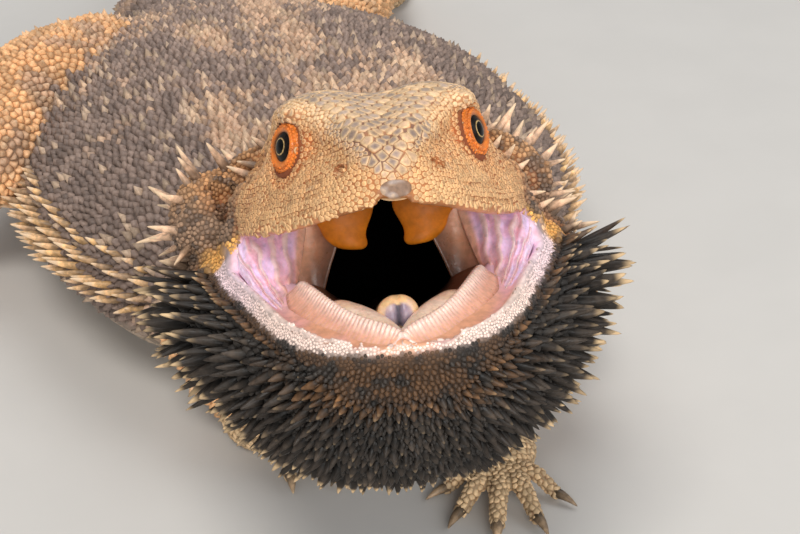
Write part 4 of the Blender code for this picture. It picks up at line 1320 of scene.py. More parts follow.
def crown_seeds(found, pool, finder):
    """The crown's plates, as samples moved to the places of a honeycomb that is even on both sides."""
    tree = tree_of(found.points[pool])
    down = Vector(head_place.way((0, 0, -1.0)))

    def struck(x, y):
        return finder.ray_cast(Vector(head_place.out((x, y, 45.0))), down, 60)[0]

    seeds, last, row = [], None, 0
    for y in np.arange(-57, 6, 0.1):
        middle = struck(0, y)
        length = smooth_value(CROWN_Y, PLATE_LENGTH, y) * 0.86
        if middle is None or (last is not None and (middle - last).length < length):
            continue
        last, across = middle, smooth_value(CROWN_Y, PLATE_WIDTH, y)
        count = int(20 / across) + 1
        for i in range(-count, count + 1):
            x = (i + 0.5 * (row % 2)) * across
            hit = struck(x + random.uniform(-0.10, 0.10), y + 0.05 * abs(x) + random.uniform(-0.10, 0.10))
            if hit is None or (abs(x) > 11.8 and -37 < y < -17):
                continue
            if y > -44 and brow_distance(head_place.into(np.array(hit)[None]))[0] < 2.3:
                continue
            _, k, distance = tree.find(hit)
            k = pool[k]
            if distance < 0.8 and k not in seeds:
                found.points[k] = hit
                found.head[k] = head_place.into(np.array(hit))
                seeds.append(k)
        row += 1
    return seeds


def build_coat(mesh, at, kind, materials, finder):
    """Scales over all of the dry skin, in joined pieces by part of the body."""
    found, found_kind = sampled(mesh, at, kind)
    steps = measured(found_kind, "step", 1.0)
    crown = is_kind(found_kind, "plate")
    plates = crown_seeds(found, np.flatnonzero(crown), finder)
    near = tree_of(found.points[plates])
    bare = np.array([near.find(p)[2] > PLATE_REACH for p in found.points[crown]])
    free = ~crown
    free[crown] = bare
    steps[crown] = np.where(bare, FILLER_STEP, steps[crown])
    chosen = spread(found.points, steps, plates, free, rows=in_rows(found, found_kind))
    seeds, seed_kind, steps = picked(found, chosen), found_kind[chosen], steps[chosen]
    print("scales", len(chosen), "of", len(found.points), "samples")
    sides, ahead = frames_on(seeds.normals, seeds.lie)
    outlines = scale_outlines(seeds.points, seeds.normals, sides, ahead, steps)
    shape, tall = coat_shape(seed_kind, seeds.points)
    tint = coat_tint(seeds, random.uniform(-1, 1, len(chosen)))
    tint = blend(tint, colour("cream"), tall * 0.38 * (1 - seeds.of("beard", "jaw")))
    places = unwrap(seeds)
    on_lip, on_jowl = is_kind(seed_kind, "lip", "grain"), is_kind(seed_kind, "jowl")
    pieces = {
        "scales_lip": on_lip,
        "scales_head": seeds.of("head") & ~on_jowl,
        "scales_jowl": seeds.of("cheek", "column", "jowl") | (seeds.of("head") & on_jowl),
        "scales_chin": seeds.of("beard", "jaw") & (np.abs(seeds.jaw[:, 0]) < CHIN_SIDE),
        "scales_beard": seeds.of("beard", "jaw") & (np.abs(seeds.jaw[:, 0]) >= CHIN_SIDE),
        "scales_neck": seeds.of("neck"),
        "scales_back": seeds.of("trunk") & (seeds.normals[:, 2] > 0.25),
        "scales_flanks": seeds.of("trunk") & (seeds.normals[:, 2] <= 0.25),
        "scales_tail": seeds.of("tail"),
        "scales_front_legs": seeds.starts("arm", "fore", "hand"),
        "scales_back_legs": seeds.starts("thigh", "shin", "foot"),
    }
    for name, here in pieces.items():
        index = np.flatnonzero(here & (~on_lip | (name == "scales_lip")))
        part = {key: values[index] for key, values in shape.items()}
        made = scale_mesh(name, seeds.points[index], seeds.normals[index], [outlines[i] for i in index],
                          sides[index], ahead[index], part, tint[index], places[index])
        add_piece(name, made, materials.get(name, materials["scales"]))
        keep_off_floor(made)
        print(name, len(index), "scales,", sum(len(p.vertices) - 2 for p in made.polygons), "triangles")
    return found


def keep_off_floor(mesh):
    points = mesh_points(mesh)
    points[:, 2] = np.maximum(points[:, 2], FLOOR_GAP)
    set_points(mesh, points)


# Spines
SPINE_ROWS = ((-0.18, 0.9), (0.0, 1.0), (0.25, 0.88), (0.5, 0.68), (0.74, 0.44), (0.93, 0.2))
SPINE_SIDES = 6


def spine_mesh(name, roots, normals, ways, bends, lengths, widths, flats, tint, places, pale=1.0):
    """All spines of one piece: tapered, a little curved, with blunt tips and roots sunk in the skin."""
    ways = unit(ways)
    across = unit(np.cross(ways, normals + 1e-4))
    over = np.cross(across, ways)
    turn = all_round(SPINE_SIDES)
    rings = []
    for t, wide in SPINE_ROWS:
        centre = roots + (ways * t + bends * (t * abs(t))) * lengths[:, None]
        size = (widths * 0.5 * wide)[:, None, None]
        ring = centre[:, None] + size * (np.cos(turn)[None, :, None] * across[:, None]
                                         + np.sin(turn)[None, :, None] * (over * flats[:, None])[:, None])
        rings.append(ring)
    rings.append((roots + (ways + bends) * lengths[:, None])[:, None])
    block = np.concatenate(rings, axis=1)
    count, per = block.shape[:2]
    base = (np.arange(count) * per)[:, None, None]
    i, n = np.arange(SPINE_SIDES), (np.arange(SPINE_SIDES) + 1) % SPINE_SIDES
    quads = [(base + np.stack([r + i, r + n, r + SPINE_SIDES + n, r + SPINE_SIDES + i], -1)).reshape(-1, 4)
             for r in range(0, SPINE_SIDES * (len(SPINE_ROWS) - 1), SPINE_SIDES)]
    last = SPINE_SIDES * (len(SPINE_ROWS) - 1)
    tris = (base + np.stack([last + i, last + n, np.full(SPINE_SIDES, per - 1)], -1)).reshape(-1, 3)
    caps = (base + np.array([[0, k + 1, k] for k in range(1, SPINE_SIDES - 1)])).reshape(-1, 3)
    mesh = make_mesh(name, block.reshape(-1, 3), [np.concatenate(quads), np.concatenate([tris, caps])])
    along = np.concatenate([np.repeat([max(t, 0) for t, _ in SPINE_ROWS], SPINE_SIDES), [1.0]])
    add_values(mesh, "along", np.tile(along, count))
    add_values(mesh, "tone", np.repeat(random.random(count), per))
    add_values(mesh, "tint", np.repeat(tint, per, axis=0))
    add_values(mesh, "pale", np.repeat(np.broadcast_to(pale, count), per))
    heights = np.repeat([t for t, _ in SPINE_ROWS], SPINE_SIDES)
    spot = np.stack([np.tile(np.cos(turn), len(SPINE_ROWS)) * 0.5, heights - 0.5], -1)
    spot = np.concatenate([spot, [[0, 0.5]]])
    add_map(mesh, (places[:, None] + PATCH * 0.9 * spot[None]).reshape(-1, 2))
    keep_off_floor(mesh)
    return mesh


BEARD_ROWS = (-51.4, -49.2, -45.8, -41, -35, -27.5, -19, -10, -1, 8)


def build_beard(found, material):
    """Dense spines that radiate from the mouth over the spread pouch."""
    j = found.jaw
    on = (found.of("beard", "cheek", "column") | (found.of("jaw") & (found.around > 8.6))) & ~found.inside
    on &= (jowl_share(found) < 0.35) & (corner_share(found) < 0.2) & (found.head[:, 2] < -6.0)
    pool = picked(found, np.flatnonzero(on))
    rise = np.interp(pool.jaw[:, 1], BEARD_ROWS, np.linspace(0, 1, len(BEARD_ROWS)))
    lip = np.interp(pool.jaw[:, 1], JAW["y"], JAW["lip_x"])
    away = np.hypot((np.abs(pool.jaw[:, 0]) - lip) * (np.abs(pool.jaw[:, 0]) > lip), pool.jaw[:, 2] + 1.6)
    centre = ease(19, 6, np.abs(pool.jaw[:, 0])) * ease(-14, -30, pool.jaw[:, 1])
    clear = away > 2.2 + 7.5 * centre
    pool, rise, away, centre = picked(pool, np.flatnonzero(clear)), rise[clear], away[clear], centre[clear]
    steps = (1.6 + 2.0 * rise * ease(2, 9, away)) * (1 - 0.15 * centre)
    chosen = spread(pool.points, steps, rounds=1)
    s = picked(pool, chosen)
    j, rise, away, centre = s.jaw, rise[chosen], away[chosen], centre[chosen]
    count = len(j)
    radial = unit(np.c_[j[:, 0], np.zeros(count), j[:, 2] + 3.0])
    spread_out = np.abs(radial[:, 0])
    wander = 0.5 * (np.stack([noise(j, 5.0, 80 + k) for k in range(3)], -1) - 0.5)
    jitter = random.normal(0, 0.10, (count, 3)) + wander
    out = jaw_place.way(radial + np.array((0, 0.22, 0)) + jitter)
    ways = unit((0.85 - 0.30 * rise)[:, None] * s.normals + 0.80 * out)
    short = 0.30 + 0.70 * ease(1.5, 9.0, away)
    lengths = (2.2 + 1.3 * rise + 4.4 * rise**3 + 2.6 * spread_out * rise) * short * (1 - 0.3 * centre)
    lengths = np.minimum(lengths * random.uniform(0.72, 1.18, count), 11.5)
    widths = (1.25 + 0.21 * lengths) * random.uniform(0.8, 1.25, count)
    lifted = ease(-6, -1, j[:, 2]) * rise
    bends = 0.16 * out + 0.06 * random.normal(0, 1, (count, 3))
    bends[:, 2] += 0.10 + 0.22 * lifted
    rim = np.maximum(rise * (0.35 + 0.75 * spread_out), ease(26, 36, np.linalg.norm(j[:, ::2], axis=1)))
    pale = ease(0.50, 0.92, rim) * random.uniform(0.5, 1.0, count) + 0.15 * (random.random(count) < 0.3)
    mesh = spine_mesh("beard_spines", s.points, s.normals, ways, bends, lengths, widths,
                      np.full(count, 0.6), coat_tint(s, random.uniform(-1, 1, count)), unwrap(s), pale)
    print("beard spines", count)
    add_piece("beard_spines", mesh, material)


def rooted(finder, starts, outs, reach):
    """Where rays from outside back towards the starts in the body meet the skin, with the normals."""
    spots, normals, kept = [], [], []
    for i, (start, out) in enumerate(zip(starts, outs)):
        out = Vector(out).normalized()
        hit, normal, _, _ = finder.ray_cast(Vector(start) + out * reach, -out, reach)
        if hit is not None:
            spots.append(hit)
            normals.append(normal)
            kept.append(i)
    return np.array(spots), np.array(normals), np.array(kept)


FLANK_FIRST = -58.0
FLANK_LAST = {1: 66.0, -1: 8.0}


def build_flank_spines(finder, material):
    """Four rows of pale spines along each flank, pointing out and back."""
    starts, outs, lengths, leans = [], [], [], []
    for side in (1, -1):
        for raise_by, step, long in ((-1.5, 3.3, 5.6), (1.6, 3.1, 7.0), (4.8, 3.4, 5.6), (8.2, 4.0, 4.2)):
            y = FLANK_FIRST + step * random.random()
            while y < FLANK_LAST[side]:
                s = read(TRUNK, y)
                starts.append((0, y, s["edge"] + raise_by + random.uniform(-0.7, 0.7)))
                outs.append((side, 0, 0))
                swell = 0.72 + 0.28 * math.sin(math.pi * (y + 70) / 145)
                lengths.append(long * swell * random.uniform(0.8, 1.15))
                back, rise = 0.6 + random.uniform(-0.15, 0.15), 0.05 + random.uniform(-0.12, 0.12)
                leans.append((side * 0.25, back, rise))
                y += step * random.uniform(0.85, 1.15)
    roots, normals, kept = rooted(finder, starts, outs, 100.0)
    lengths, leans = np.array(lengths)[kept], np.array(leans)[kept]
    ways = unit(normals + leans)
    tint = blend(colour("flank_spine"), colour("mauve"), random.random(len(kept)) * 0.45)
    places = np.c_[(roots[:, 1] + 90) / 190, 0.5 + 0.4 * np.sign(roots[:, 0]) * (roots[:, 2] / 40)]
    mesh = spine_mesh("flank_spines", roots, normals, ways, np.tile((0, 0.14, 0.02), (len(kept), 1)), lengths,
                      1.5 + 0.11 * lengths, np.full(len(kept), 0.7), tint, places)
    add_piece("flank_spines", mesh, material)


# How far behind the head each row stands, its number of spines and their length as a share
NAPE_ROWS = ((1.5, 34, 0.65), (4.5, 30, 0.8), (7.5, 27, 1.0), (10.5, 24, 1.0), (14.0, 21, 1.0),
             (18.0, 17, 0.85), (22.5, 14, 0.7))


def build_nape_spines(finder, material):
    """Rows of spines round the back of the head and down each side of the neck."""
    starts, outs, lengths, leans = [], [], [], []
    turn = np.array(turn_head)
    for row, (back, count, long) in enumerate(NAPE_ROWS):
        middle = np.array(HEAD_ORIGIN) + turn @ (0, back, 0) + np.array((0.35 * row, 0, -0.75 * row))
        for i in range(count):
            angle = math.pi * (1.34 * (i + 0.5 * (row % 2) + 0.25) / count - 0.17)
            angle += random.uniform(-0.03, 0.03)
            spread_out = abs(math.cos(angle))
            starts.append(middle)
            outs.append(turn @ (math.cos(angle), random.uniform(-0.04, 0.04), math.sin(angle)))
            lengths.append(long * (2.6 + 4.9 * spread_out**1.5) * random.uniform(0.8, 1.15))
            leans.append(turn @ (0.2 * math.cos(angle), 0.75 - 0.6 * spread_out, 0.15))
    roots, normals, kept = rooted(finder, starts, outs, 48.0)
    head = head_place.into(roots)
    near = (head[:, 2] > -8.0) & (head[:, 1] > np.interp(head[:, 2], (-6, 4), (3.0, -6.0)))
    roots, normals, kept, head = roots[near], normals[near], kept[near], head[near]
    lengths, leans = np.array(lengths)[kept], np.array(leans)[kept]
    low = ease(2.0, -9.0, head[:, 2])
    tint = blend(blend(colour("tan"), colour("jowl"), noise(roots, 5, 21)), colour("slate"), low)
    places = np.c_[(head[:, 1] + 5) / 45, 0.5 + 0.45 * np.arctan2(head[:, 0], head[:, 2] + 20) / math.pi]
    mesh = spine_mesh("nape_spines", roots, normals, unit(normals + leans), 0.1 * leans, lengths,
                      1.25 + 0.12 * lengths, np.full(len(kept), 0.75), tint, places)
    add_piece("nape_spines", mesh, material)


# Eyes and lids
def eye_frame(side):
    """The eye's centre, its gaze, and the directions across and up it, in the head's frame."""
    centre = np.array((side * EYE_CENTRE.x, EYE_CENTRE.y, EYE_CENTRE.z))
    gaze = np.array((side * GAZE.x, GAZE.y, GAZE.z))
    across = unit(np.cross(gaze, (0, 0, 1)))
    return centre, gaze, across, np.cross(across, gaze)


def dome_points(side, tilt, turn, radius):
    """Points on a ball round the eye, by the angle from its gaze and the angle round it."""
    centre, gaze, across, up = eye_frame(side)
    return centre + radius[..., None] * (
        np.cos(tilt)[..., None] * gaze
        + np.sin(tilt)[..., None] * (np.cos(turn)[..., None] * across + np.sin(turn)[..., None] * up))


def grid_faces(rows, columns, closed=True):
    index = np.arange(rows * columns).reshape(rows, columns)
    following = np.roll(index, -1, axis=1)
    if not closed:
        index, following = index[:, :-1], index[:, 1:]
    return np.stack([index[:-1], following[:-1], following[1:], index[1:]], -1).reshape(-1, 4)


def build_eye(side, name, material):
    rows, columns = 48, 64
    tilt = np.linspace(0.0, math.pi, rows)[:, None] + np.zeros((1, columns))
    turn = all_round(columns)[None] + np.zeros((rows, 1))
    bulge = 0.22 * np.exp(-((tilt / 0.42) ** 2))
    points = head_place.out(dome_points(side, tilt, turn, EYE_RADIUS + bulge).reshape(-1, 3))
    mesh = make_mesh(name, points, [grid_faces(rows, columns)])
    add_values(mesh, "tilt", tilt.ravel())
    welded(mesh, 1e-6, outward=False)
    add_piece(name + "_ball", mesh, material, [name])


LID_RADIUS = EYE_RADIUS + 0.5
LID_OUTER = 1.5


def lid_opening(turn):
    """The angle from the gaze at which the lids end, round the eye."""
    wide, tall = 0.44, 0.47
    return 1 / np.sqrt((np.cos(turn) / wide) ** 2 + (np.sin(turn) / tall) ** 2)


def lid_surface(side, share, turn):
    """The lids from their rim, at share 0, to where they sink into the socket, with their creases."""
    opening = lid_opening(turn)
    tilt = opening + (LID_OUTER - opening) * np.clip(share, 0, 1) ** 0.95
    crease = 0.13 * np.sin(share * 30 + 0.8 * np.sin(3 * turn)) * ease(0.06, 0.2, share)
    rim = -0.46 * ease(0.07, 0.0, share) + 0.16 * ease(0.0, 0.09, share) * ease(0.3, 0.1, share)
    fullness = 0.25 * np.sin(math.pi * np.clip(share, 0, 1)) * ease(0.4, -0.6, np.sin(turn))
    return dome_points(side, tilt, turn, LID_RADIUS + crease + rim + fullness)


def build_lids(side, name, material, scale_material):
    rows, columns = 54, 96
    share = np.linspace(0, 1, rows)[:, None] + np.zeros((1, columns))
    turn = all_round(columns)[None] + np.zeros((rows, 1))
    sunk = np.full((1, columns), EYE_RADIUS - 0.3)
    inner = dome_points(side, lid_opening(turn[:1]) + 0.02, turn[:1], sunk)
    outer = dome_points(side, np.full((1, columns), LID_OUTER), turn[:1], sunk)
    points = np.concatenate([inner, lid_surface(side, share, turn), outer, inner])
    flat = head_place.out(points.reshape(-1, 3))
    mesh = make_mesh(name, flat, [grid_faces(rows + 3, columns)])
    welded(mesh, 1e-7)
    head_points = head_place.into(mesh_points(mesh))
    add_values(mesh, "tint", lid_tint(side, head_points))
    add_piece(name, mesh, material)
    lid_scales(side, name + "_scales", scale_material)


def lid_tint(side, head_points):
    centre, gaze, _, up = eye_frame(side)
    away = head_points - centre
    tilt = np.arccos(np.clip(unit(away) @ gaze, -1, 1))
    base = blend(colour("lid"), colour("face_orange") * 1.2, ease(1.0, 1.4, tilt))
    # Painted shade: near black towards the lids' rim beside the eye
    base = blend(base, colour("crease") * 0.22, ease(0.53, 0.46, tilt))
    low = ease(0.3, -0.5, unit(away) @ up)
    # Painted light: a lighter copy of the lids' orange over their lower part
    base = blend(base, colour("lid") * 1.15, 0.7 * low)
    # Painted shade: two dark wrinkle lines round the lower lid
    line = np.maximum(ease(0.08, 0.02, np.abs(tilt - 1.18)), 0.5 * ease(0.05, 0.01, np.abs(tilt - 0.86)))
    return blend(base, colour("crease") * 0.3, 0.85 * low * line)


def lid_scales(side, name, material):
    """Small grains in rings round the eye."""
    points, normals, aheads = [], [], []
    for row, share in enumerate(np.linspace(0.12, 0.97, 11)):
        turn = np.linspace(0, 2 * math.pi, 200, endpoint=False)
        ring = lid_surface(side, np.full(200, share), turn)
        around = np.linalg.norm(np.roll(ring, -1, 0) - ring, axis=1).sum()
        count = int(around / 0.66)
        pick = ((np.arange(count) + 0.5 * (row % 2)) * 200 / count).astype(int) % 200
        centre = eye_frame(side)[0]
        points.append(ring[pick])
        normals.append(unit(ring[pick] - centre))
        aheads.append(unit(np.roll(ring, -1, 0) - ring)[pick])
    points, normals, aheads = (np.concatenate(v) for v in (points, normals, aheads))
    turn = np.arange(7) * 2 * math.pi / 7
    outlines = [[(0.31 * math.cos(a) * r, 0.35 * math.sin(a) * q) for a in turn]
                for r, q in random.uniform(0.85, 1.1, (len(points), 2))]
    shape = {key: np.full(len(points), value) for key, value in
             (("height", 0.10), ("bevel", 0.5), ("dome", 0.3), ("tilt", 0.0), ("keel", 0.0), ("spike", 0.0),
              ("gap", 0.04))}
    sides, ahead = frames_on(normals, aheads)
    tint = lid_tint(side, points)
    places = np.c_[0.5 + 0.045 * (points - points.mean(0))[:, 1:]]
    mesh = scale_mesh(name, head_place.out(points), head_place.way(normals), outlines,
                      head_place.way(sides), head_place.way(ahead), shape, tint, places)
    add_piece(name, mesh, material)


# Mouth
def ringed_mesh(name, rings, place=world_place):
    """A closed body through rings of points that share their number, in a place's own frame."""
    rings = np.asarray(rings)
    rows, columns = rings.shape[:2]
    caps = np.arange(columns)[None, ::-1], np.arange((rows - 1) * columns, rows * columns)[None]
    return make_mesh(name, place.out(rings.reshape(-1, 3)), [grid_faces(rows, columns), *caps])


TONGUE_SIDES = 48


def build_tongue(material):
    """The tongue's thick body, with the two lobes of its tip."""
    path = [(0, -12, -15), (0, -23, -10), (0, -33, -5.2), (0, -38.4, -1.9), (0, -41.6, -0.4)]
    centres, radii = smooth_path(path, (5.4, 4.6, 3.8, 3.4, 3.35), 26)
    way = unit(np.gradient(centres, axis=0))
    cap = np.linspace(0.12, 1.0, 12)
    centres = np.concatenate([centres, centres[-1] + way[-1] * 2.3 * np.sin(cap * math.pi / 2)[:, None]])
    radii = np.concatenate([radii, radii[-1] * np.cos(cap * math.pi / 2) + 0.02])
    way = np.concatenate([way, np.tile(way[-1], (12, 1))])
    across = np.array((1.0, 0, 0))
    turn = all_round(TONGUE_SIDES)[:, None]
    rings = [c + 1.02 * r * np.cos(turn) * across + 0.92 * r * np.sin(turn) * np.cross(across, w)
             for c, r, w in zip(centres, radii, way)]
    mesh = ringed_mesh("tongue_body", rings)
    points = mesh_points(mesh)
    tip = centres[-1]
    groove = np.exp(-((points[:, 0] / 0.55) ** 2)) * ease(-30, -40, points[:, 1])
    inward = unit(np.array((0, -30, -4.0)) - points)
    points = points + inward * (0.75 * groove)[:, None]
    facing = unit(points - (tip - way[-1] * 2.3)) @ unit(np.array((0.0, -0.97, 0.24)))
    lobes = ease(0.52, 0.66, facing)
    tint = layered(
        "tongue",
        ("tongue_tip", lobes),
        # Painted shade in the slit between the tip's lobes
        ("tongue_slit", groove * lobes * 0.9),
        ("tongue_pink", 0.4 * ease(0.5, 0.8, noise(points, 1.0, 31)) * (1 - groove)),
        # Painted shadow: the tongue turns black behind its tip, where it goes into the throat
        ("throat", ease(-38.2, -35.5, points[:, 1])))
    set_points(mesh, jaw_place.out(points))
    add_values(mesh, "tint", tint)
    add_piece("tongue_body", mesh, material, ["tongue"])


def along_gum(side, step):
    """Distances along the crest of the gum in even steps, with its points and its outward ways."""
    knots = np.c_[side * np.array(GUM["x"]), GUM["y"], GUM["z"]]
    path, _ = smooth_path(knots[:-1], np.ones(len(knots) - 1), 200)
    gaps = np.r_[0, np.cumsum(np.linalg.norm(np.diff(path, axis=0), axis=1))]
    fine = np.arange(0, gaps[-1], step)
    path = np.stack([np.interp(fine, gaps, path[:, k]) for k in range(3)], -1)
    way = unit(np.gradient(path, axis=0))
    return fine, path, unit(np.cross(way, (0, 0, 1))) * side


def add_ringed(name, rings, place, tint, material):
    """A piece of the mouth's lining."""
    mesh = ringed_mesh(name, rings, place)
    add_values(mesh, "tint", tint)
    add_piece(name, mesh, material)


GUM_PROFILE = ((4.0, -2.6, 0.0), (3.1, -1.9, 0.0), (2.2, -1.25, 0.0), (1.4, -0.65, 0.05), (0.7, -0.1, 0.24),
               (0.1, 0.25, 0.22), (-0.5, 0.1, 0.0), (-0.9, -0.5, 0.0), (-1.2, -1.6, 0.0), (-1.5, -3.6, 0.0),
               (1.8, -4.2, 0.0))
RIB = 0.86


def build_gums(side, name, material):
    """The ridge inside the lower lip, ribbed across, with a fringe of small teeth along its top."""
    fine, path, outward = along_gum(side, 0.15)
    rib = np.abs(np.sin(math.pi * fine / RIB)) ** 0.7
    fade = ease(fine[-1], fine[-1] - 10, fine) * (0.45 + 0.55 * ease(0, 4, fine))
    sunk = 3.0 * ease(fine[-1] - 7, fine[-1], fine)
    rows = []
    for out, up, ribbed in GUM_PROFILE:
        tooth = 0.55 * rib * float(ease(-0.5, 0.2, up))
        rows.append(path + outward * ((out * (0.25 + 0.75 * fade)) + ribbed * (rib - 0.5))[:, None]
                    + np.array((0, 0, 1.0)) * ((up + tooth) * fade - sunk)[:, None])
    count = len(GUM_PROFILE)
    top = np.tile([float(ease(-1.6, 0.2, up)) for _, up, _ in GUM_PROFILE], len(fine))
    tint = blend(colour("peach"), colour("lip_white"), top * 0.75)
    tint = blend(tint, colour("pink"), 0.4 * np.repeat(1 - rib, count) * (1 - 0.4 * top))
    inner = np.tile([float(out < -1.0) for out, _, _ in GUM_PROFILE], len(fine))
    tint = blend(tint, colour("curtain"), inner * 0.6)
    add_ringed(name, np.stack(rows, 1), jaw_place, tint, material)


FOLD = ((-0.2, -49.2, -1.4), (1.5, -47.6, -0.9), (3.6, -44.8, -0.5), (6.2, -41.2, -0.4), (8.9, -37.8, -0.4),
        (11.2, -35.0, -1.2), (12.8, -31.5, -3.0))


def build_fold(side, name, material):
    """The smooth fold of the mouth's floor, which runs inside the gum to a point under the tongue's tip."""
    steps = 46
    centre, width = smooth_path(FOLD, (0.7, 1.0, 1.25, 1.4, 1.3, 1.0, 0.5), steps)
    way = unit(np.gradient(centre, axis=0))
    outward = unit(np.cross(way, (0, 0, -1.0)))
    turn = all_round(24)
    over = np.array((0, 0, 1.0))
    rows = [c + w * (1.7 * np.cos(turn)[:, None] * o + np.sin(turn)[:, None] * over)
            for c, w, o in zip(centre, width, outward)]
    points = np.concatenate(rows)
    rows = np.stack(rows) * np.array((side, 1, 1))
    tint = blend(np.array((0.80, 0.56, 0.36)), colour("lip_white"), noise(points, 2.0, 51) * 0.8)
    tint = blend(tint, colour("peach"), ease(-40, -34, points[:, 1]) * 0.6)
    add_ringed(name, rows, jaw_place, tint, material)


def build_lobe(side, name, material):
    """A fleshy orange flap that hangs from the roof of the mouth beside its middle, with a blunt end."""
    columns = 36
    turn = all_round(columns)
    shares = np.r_[np.linspace(0, 1, 20), np.full(8, 1.0)]
    caps = np.r_[np.zeros(20), np.linspace(0.15, 1.0, 8)] * math.pi / 2
    rings = []
    for t, cap in zip(shares, caps):
        centre = np.array((side * (8.1 - 1.0 * t - 0.9 * math.sin(cap)), -19.5 + 0.8 * t,
                           6.2 - 9.2 * t - 2.7 * math.sin(cap)))
        width = (6.0 - 2.2 * float(ease(0.45, 1.0, t))) * math.cos(cap) ** 0.7 + 0.02
        thick = (1.5 - 0.3 * t) * math.cos(cap) ** 0.7 + 0.02
        flap = np.stack([width * np.cos(turn), thick * np.sin(turn) + 0.5 * np.cos(turn) ** 2,
                         0.8 * side * np.cos(turn) * t * math.cos(cap)], -1)
        rings.append(centre + flap)
    points = np.concatenate(rings)
    low = ease(4.0, -3.0, points[:, 2])
    mottle = (0.55 + 0.6 * noise(points, 2.4, 91)).clip(0, 1)
    # Painted shade: a dark copy of the orange high up near the roof, a light copy lower down, broken by
    # mottling
    tint = blend(colour("lobe") * 0.55, colour("lobe") * 1.15, low * mottle)
    add_ringed(name, rings, head_place, tint, material)


# The curtain's edges beside the throat and beside the muscle, from the top down
CURTAIN_INNER = (6.6, -17, 5.5), (7.4, -15.5, 0.0), (8.3, -14.4, -4.5), (9.9, -13.6, -8.6), (13.0, -12.4, -18)
CURTAIN_OUTER = ((15.5, -13.4, 5.5), (15.2, -12.8, 0.0), (15.6, -13.2, -3.5), (16.4, -14.6, -8),
                 (17.4, -17.6, -18))


def build_curtain(side, name, material):
    """The thin brown wall between the throat and the muscle at each side of the mouth, darkened by painted
    shade towards the throat and its foot.
    """
    inner, outer = (smooth_path(np.array(edge), np.ones(5), 30)[0] for edge in (CURTAIN_INNER, CURTAIN_OUTER))
    columns = 14
    front, back = [], []
    for s in np.linspace(0, 1, columns):
        line = inner + (outer - inner) * s
        sag = 1.1 * math.sin(math.pi * s)
        front.append(line + np.array((0, sag, 0)))
        back.append(line + np.array((0, sag + 0.9, 0)))
    rows = np.stack(front + back[::-1], 1) * np.array((side, 1, 1))
    share = np.tile(np.r_[np.linspace(0, 1, columns), np.linspace(1, 0, columns)], len(inner))
    high = np.repeat(np.linspace(1, 0, len(inner)), 2 * columns)
    # Painted shade: dark towards the throat's side and towards the foot, peach at the outer edge
    tint = blend(colour("curtain") * 0.22, colour("curtain"), ease(0.0, 0.75, share) * (0.35 + 0.65 * high))
    tint = blend(tint, colour("peach"), ease(0.45, 0.8, share) * 0.8)
    add_ringed(name, rows, head_place, tint, material)


def build_throat(material):
    """A near black sheet of painted shadow down the way behind the tongue, just inside the hollow of the
    skin.
    """
    rows, columns = 24, 48
    tilt = np.linspace(0.001, 0.5 * math.pi, rows)[:, None]
    turn = all_round(columns)[None]
    ball = np.stack([np.sin(tilt) * np.cos(turn), np.cos(tilt) + 0 * turn, np.sin(tilt) * np.sin(turn)], -1)
    points = np.array(GULLET["centre"]) + 0.975 * ball * np.array(GULLET["radii"])
    mesh = make_mesh("throat", head_place.out(points.reshape(-1, 3)),
                     [grid_faces(rows, columns), np.arange(columns)[None]])
    add_piece("throat", mesh, material)


# Lines across the muscle at its top, middle and foot, and how many folds it has
PAD_FOLDS = 5.2
PAD_TOP = ((12.4, -11.5, 4.5), (18.0, -12.5, 2.2), (23.8, -13.6, -0.8), (27.8, -8.6, -4.2))
PAD_MIDDLE = ((14.2, -15.6, -5.0), (18.6, -18.2, -6.4), (22.8, -18.6, -7.4), (25.4, -15.4, -8.0))
PAD_BOTTOM = ((16.2, -21.6, -12.2), (16.4, -26.6, -14.7), (16.8, -31.2, -17.2), (18.6, -33.6, -18.2))


